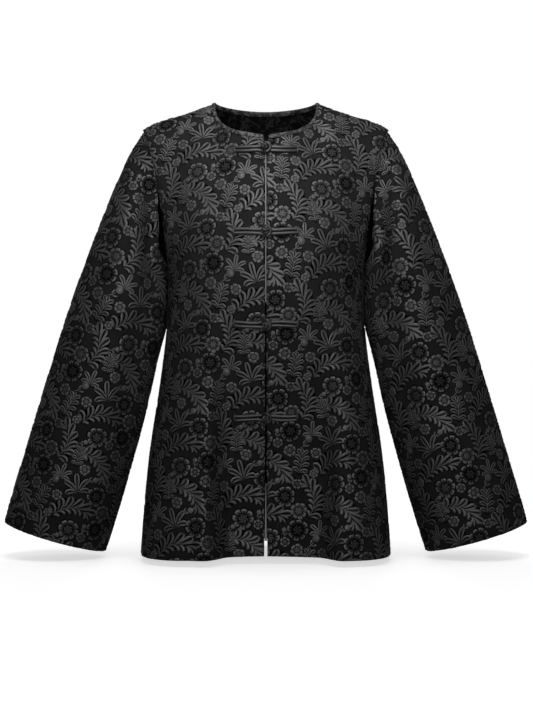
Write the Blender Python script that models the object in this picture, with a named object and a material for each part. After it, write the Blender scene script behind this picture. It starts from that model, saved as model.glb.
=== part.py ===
"""A collarless tang jacket in brocade, open at neck, hem, cuffs and armholes, as it stands when it is worn.

Metres, +Z up. X runs to the wearer's left, the front faces -Y. The origin lies midway between the two
shoulder neck points, where the wearer's shoulders hold the jacket.

Each panel is one sewn piece of cloth: a wall on a surface that is lofted from the neck edge and the
shoulder seam, through the ring at the underarm, down the rings of the body to the hem. Points on a panel
are found by two numbers: across (0 at the centre line, 1 at the armhole or side seam) and down
(0 at the top edge, 1 at the underarm, 2 at the hem).
"""

import math

import bmesh
import bpy
import numpy as np

# --- Driving sizes, in metres ---
WALL = 0.002  # brocade with its backing
GAP = 0.0003  # between pieces that are sewn or lie on each other
BODY_LENGTH = 0.651
UNDERARM = 0.235  # below the neck points
BODY_ROWS_UP = 12  # rows of cloth above the underarm, and half the points round a sleeve
BODY_ROWS_DOWN = 13
NECK_COLUMNS = 8
NECK_CLOSENESS = 0.45  # how much closer they are towards the shoulder
SHOULDER_COLUMNS = 8

NECK_HALF_WIDTH = 0.0735
NECK_TOP = -0.0013
FRONT_NECK = {"deep": 0.0670, "drop": 0.0500, "square": 2.6, "corner": 0.0030}
BACK_NECK = {"deep": 0.0515, "drop": 0.0105, "square": 1.6, "corner": 0.0}
CORNER_REACH = 0.009  # the front neck corners are rounded over this width

HEM_RISE = 0.002  # the fronts are this much shorter at the centre

BINDING_WIDTH = 0.006
BINDING_CLOTH = 0.0008
BINDING_EASE = 0.0006  # its folded-in edges stand off the cloth a little more

CORD = 0.0048  # across a satin cord
CORD_GAP = 0.0005  # under a cord, over the faceted cloth
CORD_SPACING = 0.0052  # between the middles of the two cords of a pair
FROG_DROPS = (0.0759, 0.1922, 0.3177, 0.4496)
FROG_HALF_LENGTH = 0.0445
LOOP_RADIUS = 0.0066
LOOP_FLARE = 0.0105  # from the frog's middle, where the cords part for the loop
LOOP_ENDS = 146  # degrees either way from the loop's far side
BALL_RADIUS = 0.0048
BALL_LIFT = 0.0112
STEM = {"foot": 0.0036, "top": 0.0030}  # radius under the ball
END_CAP = {"wide": 0.0050, "tall": 0.0112, "thick": 0.0052, "bevel": 0.0014}
CORD_INTO_CAP = 0.0015
CORD_WAVE = {"high": 0.0006, "long": 0.011}  # cords sewn by hand aren't quite straight
FRONT_EDGE = 0.006  # a frog takes its height off the cloth no nearer to the centre than this

SLEEVE_STEPS = 15  # of cloth along a sleeve, a little closer towards the armhole
SLEEVE_CLOSENESS = 0.06
SHARP = math.radians(50)


def rows(names, *values):
    """A short table: a list of rows, each with its columns by name."""
    return [dict(zip(names.split(), row)) for row in values]


# The shoulder seam, from the neck point out to the sleeve.
SHOULDER = rows(
    "out       drop",
    (0.0735, 0.0013),
    (0.0880, 0.0068),
    (0.1085, 0.0142),
    (0.1280, 0.0200),
    (0.1480, 0.0258),
    (0.1655, 0.0318),
    (0.1785, 0.0405),
)

# The body below the underarm. Squareness is the power of the ring's rounded-square outline.
BODY = rows(
    "drop   half_width  front   back    square_front  square_back",
    (0.235, 0.1415, 0.127, 0.096, 2.30, 2.3),
    (0.285, 0.1415, 0.129, 0.100, 2.40, 2.3),
    (0.327, 0.1430, 0.127, 0.103, 2.50, 2.3),
    (0.379, 0.1490, 0.124, 0.107, 2.70, 2.4),
    (0.431, 0.1565, 0.121, 0.111, 2.90, 2.5),
    (0.484, 0.1650, 0.119, 0.115, 3.10, 2.6),
    (0.536, 0.1715, 0.118, 0.119, 3.30, 2.7),
    (0.588, 0.1760, 0.121, 0.122, 3.70, 2.8),
    (0.651, 0.1800, 0.125, 0.125, 4.20, 2.9),
)

# How the cloth leaves the top edge of a panel, as a direction and strength, by place across.
LEAVE_FRONT = rows(
    "across out    forward  down",
    (0.00, 0.000, 0.095, 0.190),
    (0.25, 0.030, 0.095, 0.150),
    (0.42, 0.050, 0.100, 0.105),
    (0.50, 0.055, 0.120, 0.085),
    (0.75, 0.020, 0.150, 0.080),
    (1.00, -0.060, 0.170, 0.060),
)
LEAVE_BACK = rows(
    "across out    forward   down",
    (0.00, 0.000, -0.110, 0.190),
    (0.30, 0.025, -0.110, 0.155),
    (0.44, 0.045, -0.115, 0.105),
    (0.50, 0.050, -0.125, 0.085),
    (0.75, 0.020, -0.150, 0.075),
    (1.00, -0.055, -0.170, 0.060),
)
# How it arrives at the underarm ring: straight down, but along the ring where the armhole ends.
ARRIVE_STRAIGHT = 0.70  # the place across where the change begins
ARRIVE_DOWN = 0.190
ARRIVE_ARMHOLE = {"along": 0.170, "down": 0.020}
RING_SPREAD = 0.40  # how unevenly the columns spread on a ring; they are closer at the centre
EDGE_EASE = 0.30  # how far across the corner at the neck point is rounded
EASED_BY = 0.26  # the place down where only the rounded edge counts

# Large folds of the body. The depth is full at the hem; a positive one stands out from the ring.
# Places are metres from the centre line, to the wearer's left; edge is the width of the fold's flank.
FOLDS_END = 0.86  # the place across where they begin to die out towards the side seam
FRONT_FOLDS = rows(
    "from    to      edge   depth    starts  full",
    (-0.066, 0.090, 0.028, -0.040, 0.255, 0.640),
    (-0.112, -0.098, 0.018, -0.006, 0.420, 0.640),
    (0.132, 0.140, 0.016, 0.004, 0.400, 0.640),
)
BACK_FOLDS = rows(
    "from    to      edge   depth    starts  full",
    (-0.118, -0.072, 0.030, 0.015, 0.300, 0.640),
    (0.062, 0.112, 0.032, 0.017, 0.270, 0.640),
    (-0.026, 0.004, 0.026, 0.009, 0.380, 0.640),
)

# The opening between the two fronts.
FRONT_OPENING = rows(
    "drop   gap",
    (0.000, 0.0066),
    (0.062, 0.0066),
    (0.078, 0.0026),
    (0.460, 0.0026),
    (0.650, 0.0046),
)

# The sleeve's two edges as it hangs, and its half depth, by share of the sleeve's length.
SLEEVE_OUTER = rows(
    "out     drop",
    (0.1785, 0.0405),
    (0.1870, 0.0490),
    (0.1955, 0.0660),
    (0.2110, 0.1010),
    (0.2390, 0.1700),
    (0.2785, 0.2750),
    (0.3125, 0.3790),
    (0.3445, 0.4840),
    (0.3765, 0.5880),
    (0.3818, 0.6090),
)
SLEEVE_INNER = rows(
    "out     drop",
    (0.1415, 0.2350),
    (0.1421, 0.2650),
    (0.1430, 0.2950),
    (0.1460, 0.3270),
    (0.1580, 0.3790),
    (0.1690, 0.4310),
    (0.1825, 0.4840),
    (0.1975, 0.5360),
    (0.2125, 0.5880),
    (0.2330, 0.6520),
)
SLEEVE_DEPTH = rows(
    "along  half_depth",
    (0.00, 0.046),
    (0.15, 0.056),
    (0.35, 0.061),
    (0.60, 0.060),
    (1.00, 0.062),
)
ARMHOLE_FADE = 0.45  # the sleeve keeps the armhole's outline over this share of its length

# Soft folds of a sleeve. Turn is degrees round from the outer edge by way of the front.
SLEEVE_FOLDS = rows(
    "turn   turn_end  half   depth    starts  full   ends",
    (118.0, 150.0, 34.0, -0.0090, 0.04, 0.22, 0.80),
    (62.0, 80.0, 26.0, 0.0035, 0.10, 0.35, 0.90),
    (232.0, 205.0, 34.0, -0.0090, 0.05, 0.25, 0.85),
    (285.0, 280.0, 28.0, 0.0040, 0.15, 0.45, 1.10),
    (20.0, 35.0, 20.0, -0.0030, 0.45, 0.75, 1.20),
)

BLACK_BROCADE = (0.020, 0.020, 0.021, 1.0)
BLACK_SATIN = (0.026, 0.026, 0.027, 1.0)


# --- Small tools ---
def column(table, name):
    return np.array([row[name] for row in table])


def smooth(x, low, high):
    """0 below low, 1 above high, with a soft start and end."""
    t = min(max((x - low) / (high - low), 0.0), 1.0)
    return t * t * (3 - 2 * t)


def through(table, key, name, x):
    """A smooth curve through one column of a table, read at x."""
    keys, values = column(table, key), column(table, name)
    slopes = np.gradient(values, keys)
    i = int(min(max(np.searchsorted(keys, x) - 1, 0), len(keys) - 2))
    step = keys[i + 1] - keys[i]
    t = min(max((x - keys[i]) / step, 0.0), 1.0)
    start = (1 + 2 * t) * (1 - t) ** 2 * values[i] + t * (1 - t) ** 2 * step * slopes[i]
    end = t * t * (3 - 2 * t) * values[i + 1] - t * t * (1 - t) * step * slopes[i + 1]
    return start + end


def unit(v):
    return v / np.maximum(np.linalg.norm(v, axis=-1, keepdims=True), 1e-12)


class Route:
    """A line through many points, read by share of its length."""

    def __init__(self, points):
        self.points = np.array(points, float)
        steps = np.linalg.norm(np.diff(self.points, axis=0), axis=1)
        self.length = steps.sum()
        self.shares = np.concatenate([[0.0], np.cumsum(steps)]) / self.length

    def at(self, share):
        return np.array([np.interp(share, self.shares, axis) for axis in self.points.T])


def table_route(table):
    """A smooth route through a table of (out, drop) rows, in the plane y = 0."""
    places = np.arange(len(table), dtype=float)
    numbered = [dict(row, place=place) for row, place in zip(table, places)]
    steps = np.linspace(0, places[-1], 160)
    return Route(
        [[through(numbered, "place", "out", s), 0.0, -through(numbered, "place", "drop", s)] for s in steps]
    )


# --- The surface of the body ---
def neck_route(neck, facing):
    """Half of a neck edge, from the centre line to the shoulder. Facing is -1 in front and 1 behind."""
    points = []
    for angle in np.linspace(0, math.pi / 2, 120):
        out = NECK_HALF_WIDTH * math.sin(angle)
        share = out / NECK_HALF_WIDTH
        down = (1 - share ** neck["square"]) ** (1 / neck["square"])
        corner = neck["corner"] * max(1 - out / CORNER_REACH, 0.0) ** 2
        drop = -NECK_TOP + (neck["drop"] + NECK_TOP) * down + corner
        points.append([out, facing * neck["deep"] * math.cos(angle), -drop])
    return Route(points)


def ring_route(drop, facing):
    """Half of the body's ring at this drop, from the centre line to the side seam."""
    deep = through(BODY, "drop", "front" if facing < 0 else "back", drop)
    square = through(BODY, "drop", "square_front" if facing < 0 else "square_back", drop)
    wide = through(BODY, "drop", "half_width", drop)
    points = []
    for angle in np.linspace(0, math.pi / 2, 120):
        out = wide * math.sin(angle) ** (2 / square)
        points.append([out, facing * deep * math.cos(angle) ** (2 / square), -drop])
    return Route(points)


SHOULDER_ROUTE = table_route(SHOULDER)
NECKS = {-1: neck_route(FRONT_NECK, -1), 1: neck_route(BACK_NECK, 1)}
UNDERARM_RINGS = {facing: ring_route(UNDERARM, facing) for facing in (-1, 1)}


def top_edge(across, facing):
    if across < 0.5:
        return NECKS[facing].at(across * 2)
    return SHOULDER_ROUTE.at(across * 2 - 1)


def past_ends(across, facing):
    """The top edge carried on past its ends: mirrored at the centre line, turned at the shoulder tip."""
    if across < 0:
        return top_edge(-across, facing) * np.array([-1.0, 1.0, 1.0])
    if across > 1:
        return 2 * top_edge(1.0, facing) - top_edge(2 - across, facing)
    return top_edge(across, facing)


def eased_edge(across, facing):
    """The top edge with its corner at the neck point rounded, for the rows of cloth below it."""
    steps = np.linspace(-1, 1, 13)
    weights = np.cos(steps * math.pi / 2) ** 2
    points = [past_ends(across + EDGE_EASE * step, facing) for step in steps]
    return (weights[:, None] * np.array(points)).sum(axis=0) / weights.sum()


def ring_share(across):
    """The columns' places along a ring, which are closer together under the neck."""
    return across * (1 - RING_SPREAD) + RING_SPREAD * across**2


def leave(across, facing):
    table = LEAVE_FRONT if facing < 0 else LEAVE_BACK
    out, forward, down = (through(table, "across", name, across) for name in ("out", "forward", "down"))
    return np.array([out, -forward, -down])


def arrive(across, facing):
    turn = smooth(across, ARRIVE_STRAIGHT, 1.0)
    down = ARRIVE_DOWN + (ARRIVE_ARMHOLE["down"] - ARRIVE_DOWN) * turn
    return np.array([0.0, -facing * ARRIVE_ARMHOLE["along"] * turn, -down])


def fold_depth(folds, x, drop):
    """How far the folds stand out at this place."""
    depth = 0.0
    for fold in folds:
        flank = fold["edge"]
        inside = smooth(x, fold["from"] - flank / 2, fold["from"] + flank / 2)
        inside *= 1 - smooth(x, fold["to"] - flank / 2, fold["to"] + flank / 2)
        depth += fold["depth"] * inside * smooth(drop, fold["starts"], fold["full"]) ** 0.8
    return depth


def body_point(side, facing, across, down):
    """A point of the body's outer face. Side is 1 on the wearer's left and -1 on the right."""
    if down <= 1:
        start, ring = top_edge(across, facing), UNDERARM_RINGS[facing].at(ring_share(across))
        start = start + (eased_edge(across, facing) - start) * smooth(down, 0.0, EASED_BY)
        t = down
        point = (1 + 2 * t) * (1 - t) ** 2 * start + t * t * (3 - 2 * t) * ring
        point = point + t * (1 - t) ** 2 * leave(across, facing) - t * t * (1 - t) * arrive(across, facing)
    else:
        drop = UNDERARM + (down - 1) * (BODY_LENGTH - UNDERARM)
        point = ring_route(drop, facing).at(ring_share(across))
        depth = fold_depth(FRONT_FOLDS if facing < 0 else BACK_FOLDS, side * point[0], drop)
        point[1] += facing * depth * (1 - smooth(across, FOLDS_END, 1.0))
    if facing < 0:
        point[2] += HEM_RISE * smooth(down, 1, 2) * (1 - smooth(across, 0.0, 0.5))
        gap = np.interp(-point[2], column(FRONT_OPENING, "drop"), column(FRONT_OPENING, "gap"))
        point[0] += gap / 2 * (1 - across) ** 3
    point[0] *= side
    return point


def columns_across():
    even = np.linspace(0, 1, NECK_COLUMNS + 1)
    neck = (even + NECK_CLOSENESS * (np.sin(even * math.pi / 2) - even)) / 2
    shoulder = np.linspace(0.5, 1, SHOULDER_COLUMNS + 1)
    return np.concatenate([neck, shoulder[1:]])


def rows_down():
    up = np.linspace(0, 1, BODY_ROWS_UP + 1)
    below = np.linspace(1, 2, BODY_ROWS_DOWN + 1)
    return np.concatenate([up, below[1:]])


def front_points(side):
    return np.array([[body_point(side, -1, a, d) for d in rows_down()] for a in columns_across()])


def back_points():
    """The whole back, from the wearer's right side seam to the left one."""
    places = [(-1, a) for a in columns_across()[::-1]] + [(1, a) for a in columns_across()[1:]]
    return np.array([[body_point(side, 1, a, d) for d in rows_down()] for side, a in places])


# --- The surface of a sleeve ---
OUTER_ROUTE = table_route(SLEEVE_OUTER)
INNER_ROUTE = table_route(SLEEVE_INNER)


def sleeve_ellipse(along, turn):
    outer, inner = OUTER_ROUTE.at(along), INNER_ROUTE.at(along)
    deep = through(SLEEVE_DEPTH, "along", "half_depth", along)
    middle, half = (outer + inner) / 2, (outer - inner) / 2
    return middle + half * math.cos(turn) + np.array([0.0, -deep * math.sin(turn), 0.0])


def sleeve_fold(along, degrees):
    depth = 0.0
    for fold in SLEEVE_FOLDS:
        centre = fold["turn"] + (fold["turn_end"] - fold["turn"]) * along
        away = (degrees - centre + 180) % 360 - 180
        if abs(away) < fold["half"]:
            rise = smooth(along, fold["starts"], fold["full"])
            fade = 1 - smooth(along, fold["full"], fold["ends"]) if fold["ends"] < 1 else 1.0
            depth += fold["depth"] * math.cos(away / fold["half"] * math.pi / 2) ** 2 * rise * fade
    return depth


def armhole_point(turn_share):
    """The armhole's edge, from the shoulder by way of the front to the underarm and up the back."""
    if turn_share <= 0.5:
        return body_point(1, -1, 1.0, turn_share * 2)
    return body_point(1, 1, 1.0, 2 - turn_share * 2)


def sleeve_point(side, along, turn_share):
    """A point of a sleeve's outer face: along it from the armhole to the cuff, and round it."""
    turn = turn_share * 2 * math.pi
    point = sleeve_ellipse(along, turn)
    if along < ARMHOLE_FADE:
        keep = (1 - along / ARMHOLE_FADE) ** 3
        point = point + keep * (armhole_point(turn_share) - sleeve_ellipse(0.0, turn))
    middle = (OUTER_ROUTE.at(along) + INNER_ROUTE.at(along)) / 2
    point = point + sleeve_fold(along, math.degrees(turn)) * unit(point - middle)
    point[0] *= side
    return point


def sleeve_rings():
    """Closer rings where the sleeve leaves the armhole."""
    even = np.linspace(0, 1, SLEEVE_STEPS + 1)
    return even - SLEEVE_CLOSENESS * np.sin(even * math.pi)


def sleeve_points(side):
    turns = np.arange(2 * BODY_ROWS_UP) / (2 * BODY_ROWS_UP)
    return np.array([[sleeve_point(side, s, t) for s in sleeve_rings()] for t in turns])


# --- Walls of cloth ---
def grid_normals(points, outside, wrap=False):
    """A normal at each point of a grid, turned to face away from the point outside()'s middle."""
    if wrap:
        along_i = np.roll(points, -1, axis=0) - np.roll(points, 1, axis=0)
    else:
        along_i = np.gradient(points, axis=0)
    along_j = np.gradient(points, axis=1)
    normals = unit(np.cross(along_i, along_j))
    away = points - outside
    flip = np.sign((normals * away).sum(axis=2, keepdims=True).mean())
    return normals * flip


def wall_object(name, outer, inward, material, collection, wrap=False):
    """A closed wall of cloth: the outer points, the inner points and the cut edges between them."""
    count_i, count_j = outer.shape[:2]
    inner = outer + inward
    mesh = bmesh.new()
    skins = [[[mesh.verts.new(p) for p in line] for line in skin] for skin in (outer, inner)]
    out, ins = skins
    steps = count_i if wrap else count_i - 1
    for i in range(steps):
        k = (i + 1) % count_i
        for j in range(count_j - 1):
            mesh.faces.new((out[i][j], out[k][j], out[k][j + 1], out[i][j + 1]))
            mesh.faces.new((ins[i][j + 1], ins[k][j + 1], ins[k][j], ins[i][j]))
        for j, turned in ((0, False), (count_j - 1, True)):
            edge = [out[i][j], ins[i][j], ins[k][j], out[k][j]]
            mesh.faces.new(edge[::-1] if turned else edge)
    if not wrap:
        for i, turned in ((0, True), (count_i - 1, False)):
            for j in range(count_j - 1):
                edge = [out[i][j], ins[i][j], ins[i][j + 1], out[i][j + 1]]
                mesh.faces.new(edge[::-1] if turned else edge)
    return finished(name, mesh, material, collection)


def finished(name, mesh, material, collection):
    bmesh.ops.recalc_face_normals(mesh, faces=mesh.faces)
    bmesh.ops.triangulate(mesh, faces=mesh.faces, quad_method="SHORT_EDGE")
    data = bpy.data.meshes.new(name)
    mesh.to_mesh(data)
    mesh.free()
    data.materials.append(material)
    data.shade_smooth()
    data.set_sharp_from_angle(angle=SHARP)
    obj = bpy.data.objects.new(name, data)
    collection.objects.link(obj)
    return obj


def dot(a, b):
    return (a * b).sum(axis=-1, keepdims=True)


def seam_lean(own, other, into_other):
    """The direction of a cut edge at a seam: shared where it is flat or a ridge, its own in a crease."""
    run_on = np.clip((dot(own, other) - 0.1) / 0.6, 0.0, 1.0)
    ridge = np.clip(1 - dot(own, into_other) / 0.15, 0.0, 1.0)
    run_on = np.maximum(run_on * run_on * (3 - 2 * run_on), ridge)
    return unit(own + other * run_on), run_on


def by_front(ring):
    """The front half of a sleeve's ring, from the shoulder to the underarm."""
    return ring[: BODY_ROWS_UP + 1]


def by_back(ring):
    """The back half of a sleeve's ring, from the shoulder to the underarm."""
    return np.roll(ring[::-1], 1, axis=0)[: BODY_ROWS_UP + 1]


def cut_panels():
    """The grids and normals of the five panels, with their edges settled at every seam."""
    axis = np.array([0.0, 0.0, -0.3])
    fronts = {side: front_points(side) for side in (-1, 1)}
    back = back_points()
    sleeves = {side: sleeve_points(side) for side in (-1, 1)}
    front_normals = {side: grid_normals(fronts[side], axis) for side in (-1, 1)}
    back_normals = grid_normals(back, axis)
    middles = {side: sleeves[side].mean(axis=0)[None] for side in (-1, 1)}
    sleeve_normals = {side: grid_normals(sleeves[side], middles[side], wrap=True) for side in (-1, 1)}

    last = len(columns_across()) - 1
    shoulder = slice(NECK_COLUMNS, last + 1)
    top, below = slice(0, BODY_ROWS_UP + 1), slice(BODY_ROWS_UP, None)
    for side in (-1, 1):
        normal, edge = front_normals[side], 0 if side < 0 else 2 * last
        columns = slice(last + 1, None) if side > 0 else slice(None, last)
        halves = back_normals[columns][:: side]
        shared = unit(normal[shoulder, 0] + halves[NECK_COLUMNS - 1 :, 0])
        normal[shoulder, 0] = shared
        halves[NECK_COLUMNS - 1 :, 0] = shared
        shared = unit(normal[last, below] + back_normals[edge, below])
        normal[last, below] = shared
        back_normals[edge, below] = shared

        ring = sleeve_normals[side][:, 0].copy()
        front_arm = normal[last, top].copy()
        back_arm = back_normals[edge, top].copy()
        into_sleeve = unit(sleeves[side][:, 1] - sleeves[side][:, 0])
        sleeve_front, sleeve_back = by_front(ring), by_back(ring)
        into_front = unit(fronts[side][last - 1, top] - fronts[side][last, top])
        into_back = unit(back[edge - side, top] - back[edge, top])
        normal[last, top], _ = seam_lean(front_arm, sleeve_front, by_front(into_sleeve))
        back_normals[edge, top], _ = seam_lean(back_arm, sleeve_back, by_back(into_sleeve))
        lean_front, run_front = seam_lean(sleeve_front, front_arm, into_front)
        lean_back, run_back = seam_lean(sleeve_back, back_arm, into_back)
        lean = np.concatenate([lean_front, lean_back[1:-1][::-1]])
        run_on = np.concatenate([run_front, run_back[1:-1][::-1]])
        lean[0] = unit(lean_front[0] + lean_back[0])
        normal[last, 0] = back_normals[edge, 0] = sleeve_normals[side][0, 0] = lean[0]
        sleeve_normals[side][:, 0] = lean
        sleeve_normals[side][0, 0] = lean[0]

        grid = sleeves[side]
        away = unit(grid[:, 1] - grid[:, 0])
        grid[:, 0] += away * GAP / 2 - (1 - run_on) * GAP * 1.2 * lean

        panel = fronts[side]
        panel[shoulder, 0] += unit(panel[shoulder, 1] - panel[shoulder, 0]) * GAP / 2
        panel[last] += unit(panel[last - 1] - panel[last]) * GAP / 2
        back[edge] += unit(back[edge - side] - back[edge]) * GAP / 2
        seam_columns = slice(last + NECK_COLUMNS, None) if side > 0 else slice(None, last - NECK_COLUMNS + 1)
        back[seam_columns, 0] += unit(back[seam_columns, 1] - back[seam_columns, 0]) * GAP / 2
    return fronts, back, sleeves, front_normals, back_normals, sleeve_normals


# --- The neck binding ---
def binding_stations(fronts, back, front_normals, back_normals):
    """Edge and depth points with their normals, from the right front's centre round to the left's."""
    last = len(columns_across()) - 1
    neck = NECK_COLUMNS
    behind = slice(last - neck, last + neck + 1)

    def down_from(points, normals):
        down = points[:, 1] - points[:, 0]
        share = BINDING_WIDTH / np.linalg.norm(down, axis=1, keepdims=True)
        leans = unit(normals[:, 0] * (1 - share) + normals[:, 1] * share)
        return list(zip(points[:, 0], normals[:, 0], points[:, 0] + down * share, leans))

    def at_shoulder(side):
        """Over the shoulder seam the strip's depth runs along the seam."""
        seam = fronts[side][neck : neck + 2, 0], front_normals[side][neck : neck + 2, 0]
        edge = (seam[0][0] + back[last + side * neck, 0]) / 2
        out = seam[0][1] - seam[0][0]
        share = BINDING_WIDTH / np.linalg.norm(out)
        return (edge, seam[1][0], edge + out * share, unit(seam[1][0] * (1 - share) + seam[1][1] * share))

    right = down_from(fronts[-1][: neck + 1], front_normals[-1][: neck + 1])
    left = down_from(fronts[1][: neck + 1], front_normals[1][: neck + 1])
    middle = down_from(back[behind], back_normals[behind])
    return [*right, at_shoulder(-1), *middle, at_shoulder(1), *left[::-1]]


def binding_section(edge, edge_normal, deep, deep_normal, along):
    """The folded strip's outline at one station, which wraps the raw edge that runs along."""
    cloth, gap = BINDING_CLOTH, GAP
    up = unit(edge - deep - along * dot(edge - deep, along))
    far, near = gap + cloth, gap
    inner_far, inner_near = -WALL - gap - cloth, -WALL - gap
    ease = BINDING_EASE
    return [
        deep + deep_normal * (near + ease),
        deep + deep_normal * (far + ease),
        edge + edge_normal * far,
        edge + edge_normal * far * 0.5 + up * (gap + cloth * 0.8),
        edge + edge_normal * (-WALL / 2) + up * (gap + cloth),
        edge + edge_normal * (inner_far + far * 0.5) + up * (gap + cloth * 0.8),
        edge + edge_normal * inner_far,
        deep + deep_normal * (inner_far - ease),
        deep + deep_normal * (inner_near - ease),
        edge + edge_normal * inner_near + up * gap,
        edge + edge_normal * near + up * gap,
    ]


def neck_binding(stations, material, collection):
    mesh = bmesh.new()
    runs = unit(np.gradient([station[0] for station in stations], axis=0))
    outlines = [binding_section(*station, along) for station, along in zip(stations, runs)]
    loops = [[mesh.verts.new(p) for p in outline] for outline in outlines]
    count = len(loops[0])
    for first, second in zip(loops, loops[1:]):
        for i in range(count):
            k = (i + 1) % count
            mesh.faces.new((first[i], first[k], second[k], second[i]))
    for end in (loops[0][::-1], loops[-1]):
        mesh.faces.new(end)
    return finished("neck_binding", mesh, material, collection)


# --- The frog buttons ---
def place_on_front(x, drop):
    """The point of a front at this x and drop, and its normal, found by a few corrected guesses."""
    side = 1 if x >= 0 else -1
    place = np.array([abs(x) / 0.2, min(drop / UNDERARM, 1) if drop < UNDERARM else 1.2])
    step = 1e-4
    for _ in range(14):
        point = body_point(side, -1, *place)
        miss = np.array([x - point[0], -drop - point[2]])
        if np.abs(miss).max() < 1e-7:
            break
        by_across = (body_point(side, -1, place[0] + step, place[1]) - point)[[0, 2]] / step
        by_down = (body_point(side, -1, place[0], place[1] + step) - point)[[0, 2]] / step
        place += np.linalg.solve(np.array([by_across, by_down]).T, miss)
        place = np.clip(place, 0.0, 1.99)
    point = body_point(side, -1, *place)
    across = body_point(side, -1, place[0] + 0.01, place[1]) - point
    along = body_point(side, -1, place[0], place[1] + 0.01) - point
    normal = unit(np.cross(across, along))
    return point, normal if normal[1] < 0 else -normal


def frog_frame(drop):
    """The middle of a frog on the cloth and three directions: to the wearer's left, up, and out."""
    reach = 0.012
    right, _ = place_on_front(-reach, drop)
    left, normal = place_on_front(reach, drop)
    across = unit(left - right)
    normal = unit(normal - across * (normal @ across))
    return (left + right) / 2, across, np.cross(normal, across), normal


def lay_on_front(frame, along, up, lift):
    """A point over the cloth, by distances along and up from the frog's middle, lifted off it."""
    middle, across, upward, _ = frame
    target = middle + across * along + upward * up
    held = max(abs(target[0]), FRONT_EDGE) * (1 if target[0] >= 0 else -1)
    point, normal = place_on_front(held, -target[2])
    point = point + across * (target[0] - held)
    return point + normal * lift


def waver(number, along):
    """How far a frog's cords lie above or below their straight line; each frog has its own wave."""
    return CORD_WAVE["high"] * math.sin(along / CORD_WAVE["long"] + number * 2.1)


def tube(name, points, collection):
    """A satin cord as a closed mesh, from a curve with round section and filled ends."""
    curve = bpy.data.curves.new(name, "CURVE")
    curve.dimensions = "3D"
    curve.bevel_depth = CORD / 2
    curve.bevel_resolution = 2
    curve.use_fill_caps = True
    line = curve.splines.new("POLY")
    line.points.add(len(points) - 1)
    for target, point in zip(line.points, points):
        target.co = (*point, 1.0)
    cord = bpy.data.objects.new(name, curve)
    collection.objects.link(cord)
    graph = bpy.context.evaluated_depsgraph_get()
    data = bpy.data.meshes.new_from_object(cord.evaluated_get(graph))
    bpy.data.objects.remove(cord)
    mesh = bmesh.new()
    mesh.from_mesh(data)
    bmesh.ops.remove_doubles(mesh, verts=mesh.verts, dist=1e-6)
    bmesh.ops.recalc_face_normals(mesh, faces=mesh.faces)
    mesh.to_mesh(data)
    mesh.free()
    solid = bpy.data.objects.new(name, data)
    collection.objects.link(solid)
    return solid


def solid_at(name, mesh, frame, centre, collection):
    """A small solid made round its own centre, turned to lie on the cloth."""
    _, across, upward, normal = frame
    for vert in mesh.verts:
        x, y, z = vert.co
        vert.co = centre + across * x + upward * z - normal * y
    bmesh.ops.recalc_face_normals(mesh, faces=mesh.faces)
    data = bpy.data.meshes.new(name)
    mesh.to_mesh(data)
    mesh.free()
    obj = bpy.data.objects.new(name, data)
    collection.objects.link(obj)
    return obj


def end_cap(name, frame, side, number, collection):
    """The satin folded across the outer ends of a pair of cords."""
    along = side * (FROG_HALF_LENGTH - END_CAP["wide"] / 2 + 0.001)
    centre = lay_on_front(frame, along, waver(number, along), CORD_GAP + END_CAP["thick"] / 2)
    mesh = bmesh.new()
    bmesh.ops.create_cube(mesh, size=1.0)
    for vert in mesh.verts:
        vert.co.x *= END_CAP["wide"]
        vert.co.y *= END_CAP["thick"]
        vert.co.z *= END_CAP["tall"]
    bmesh.ops.bevel(mesh, geom=mesh.edges[:], offset=END_CAP["bevel"], segments=2, affect="EDGES")
    return solid_at(name, mesh, frame, centre, collection)


def ball(name, frame, collection):
    mesh = bmesh.new()
    bmesh.ops.create_uvsphere(mesh, u_segments=14, v_segments=9, radius=BALL_RADIUS)
    return solid_at(name, mesh, frame, lay_on_front(frame, 0.0, 0.0, BALL_LIFT), collection)


def stem(name, frame, collection):
    """The cords' tight neck between the cloth and the ball."""
    low, high = 2 * CORD_GAP, BALL_LIFT
    mesh = bmesh.new()
    bmesh.ops.create_cone(
        mesh, cap_ends=True, segments=10, radius1=STEM["foot"], radius2=STEM["top"], depth=high - low
    )
    for vert in mesh.verts:
        vert.co.y, vert.co.z = -vert.co.z, vert.co.y
    return solid_at(name, mesh, frame, lay_on_front(frame, 0.0, 0.0, (low + high) / 2), collection)


def joined(name, pieces, material, collection):
    """One closed body from overlapping pieces."""
    main = pieces[0]
    main.name = name
    for other in pieces[1:]:
        join = main.modifiers.new("join", "BOOLEAN")
        join.operation = "UNION"
        join.object = other
        join.solver = "EXACT"
    graph = bpy.context.evaluated_depsgraph_get()
    data = bpy.data.meshes.new_from_object(main.evaluated_get(graph))
    for piece in pieces:
        bpy.data.objects.remove(piece)
    data.name = name
    data.materials.clear()
    data.materials.append(material)
    data.shade_smooth()
    data.set_sharp_from_angle(angle=SHARP)
    obj = bpy.data.objects.new(name, data)
    collection.objects.link(obj)
    return obj


def cord_line(frame, number, start, end, up, steps):
    """Points along a straight stretch of one cord of a pair."""
    return [
        lay_on_front(frame, along, up + waver(number, along), CORD_GAP + CORD / 2)
        for along in np.linspace(start, end, steps)
    ]


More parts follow.
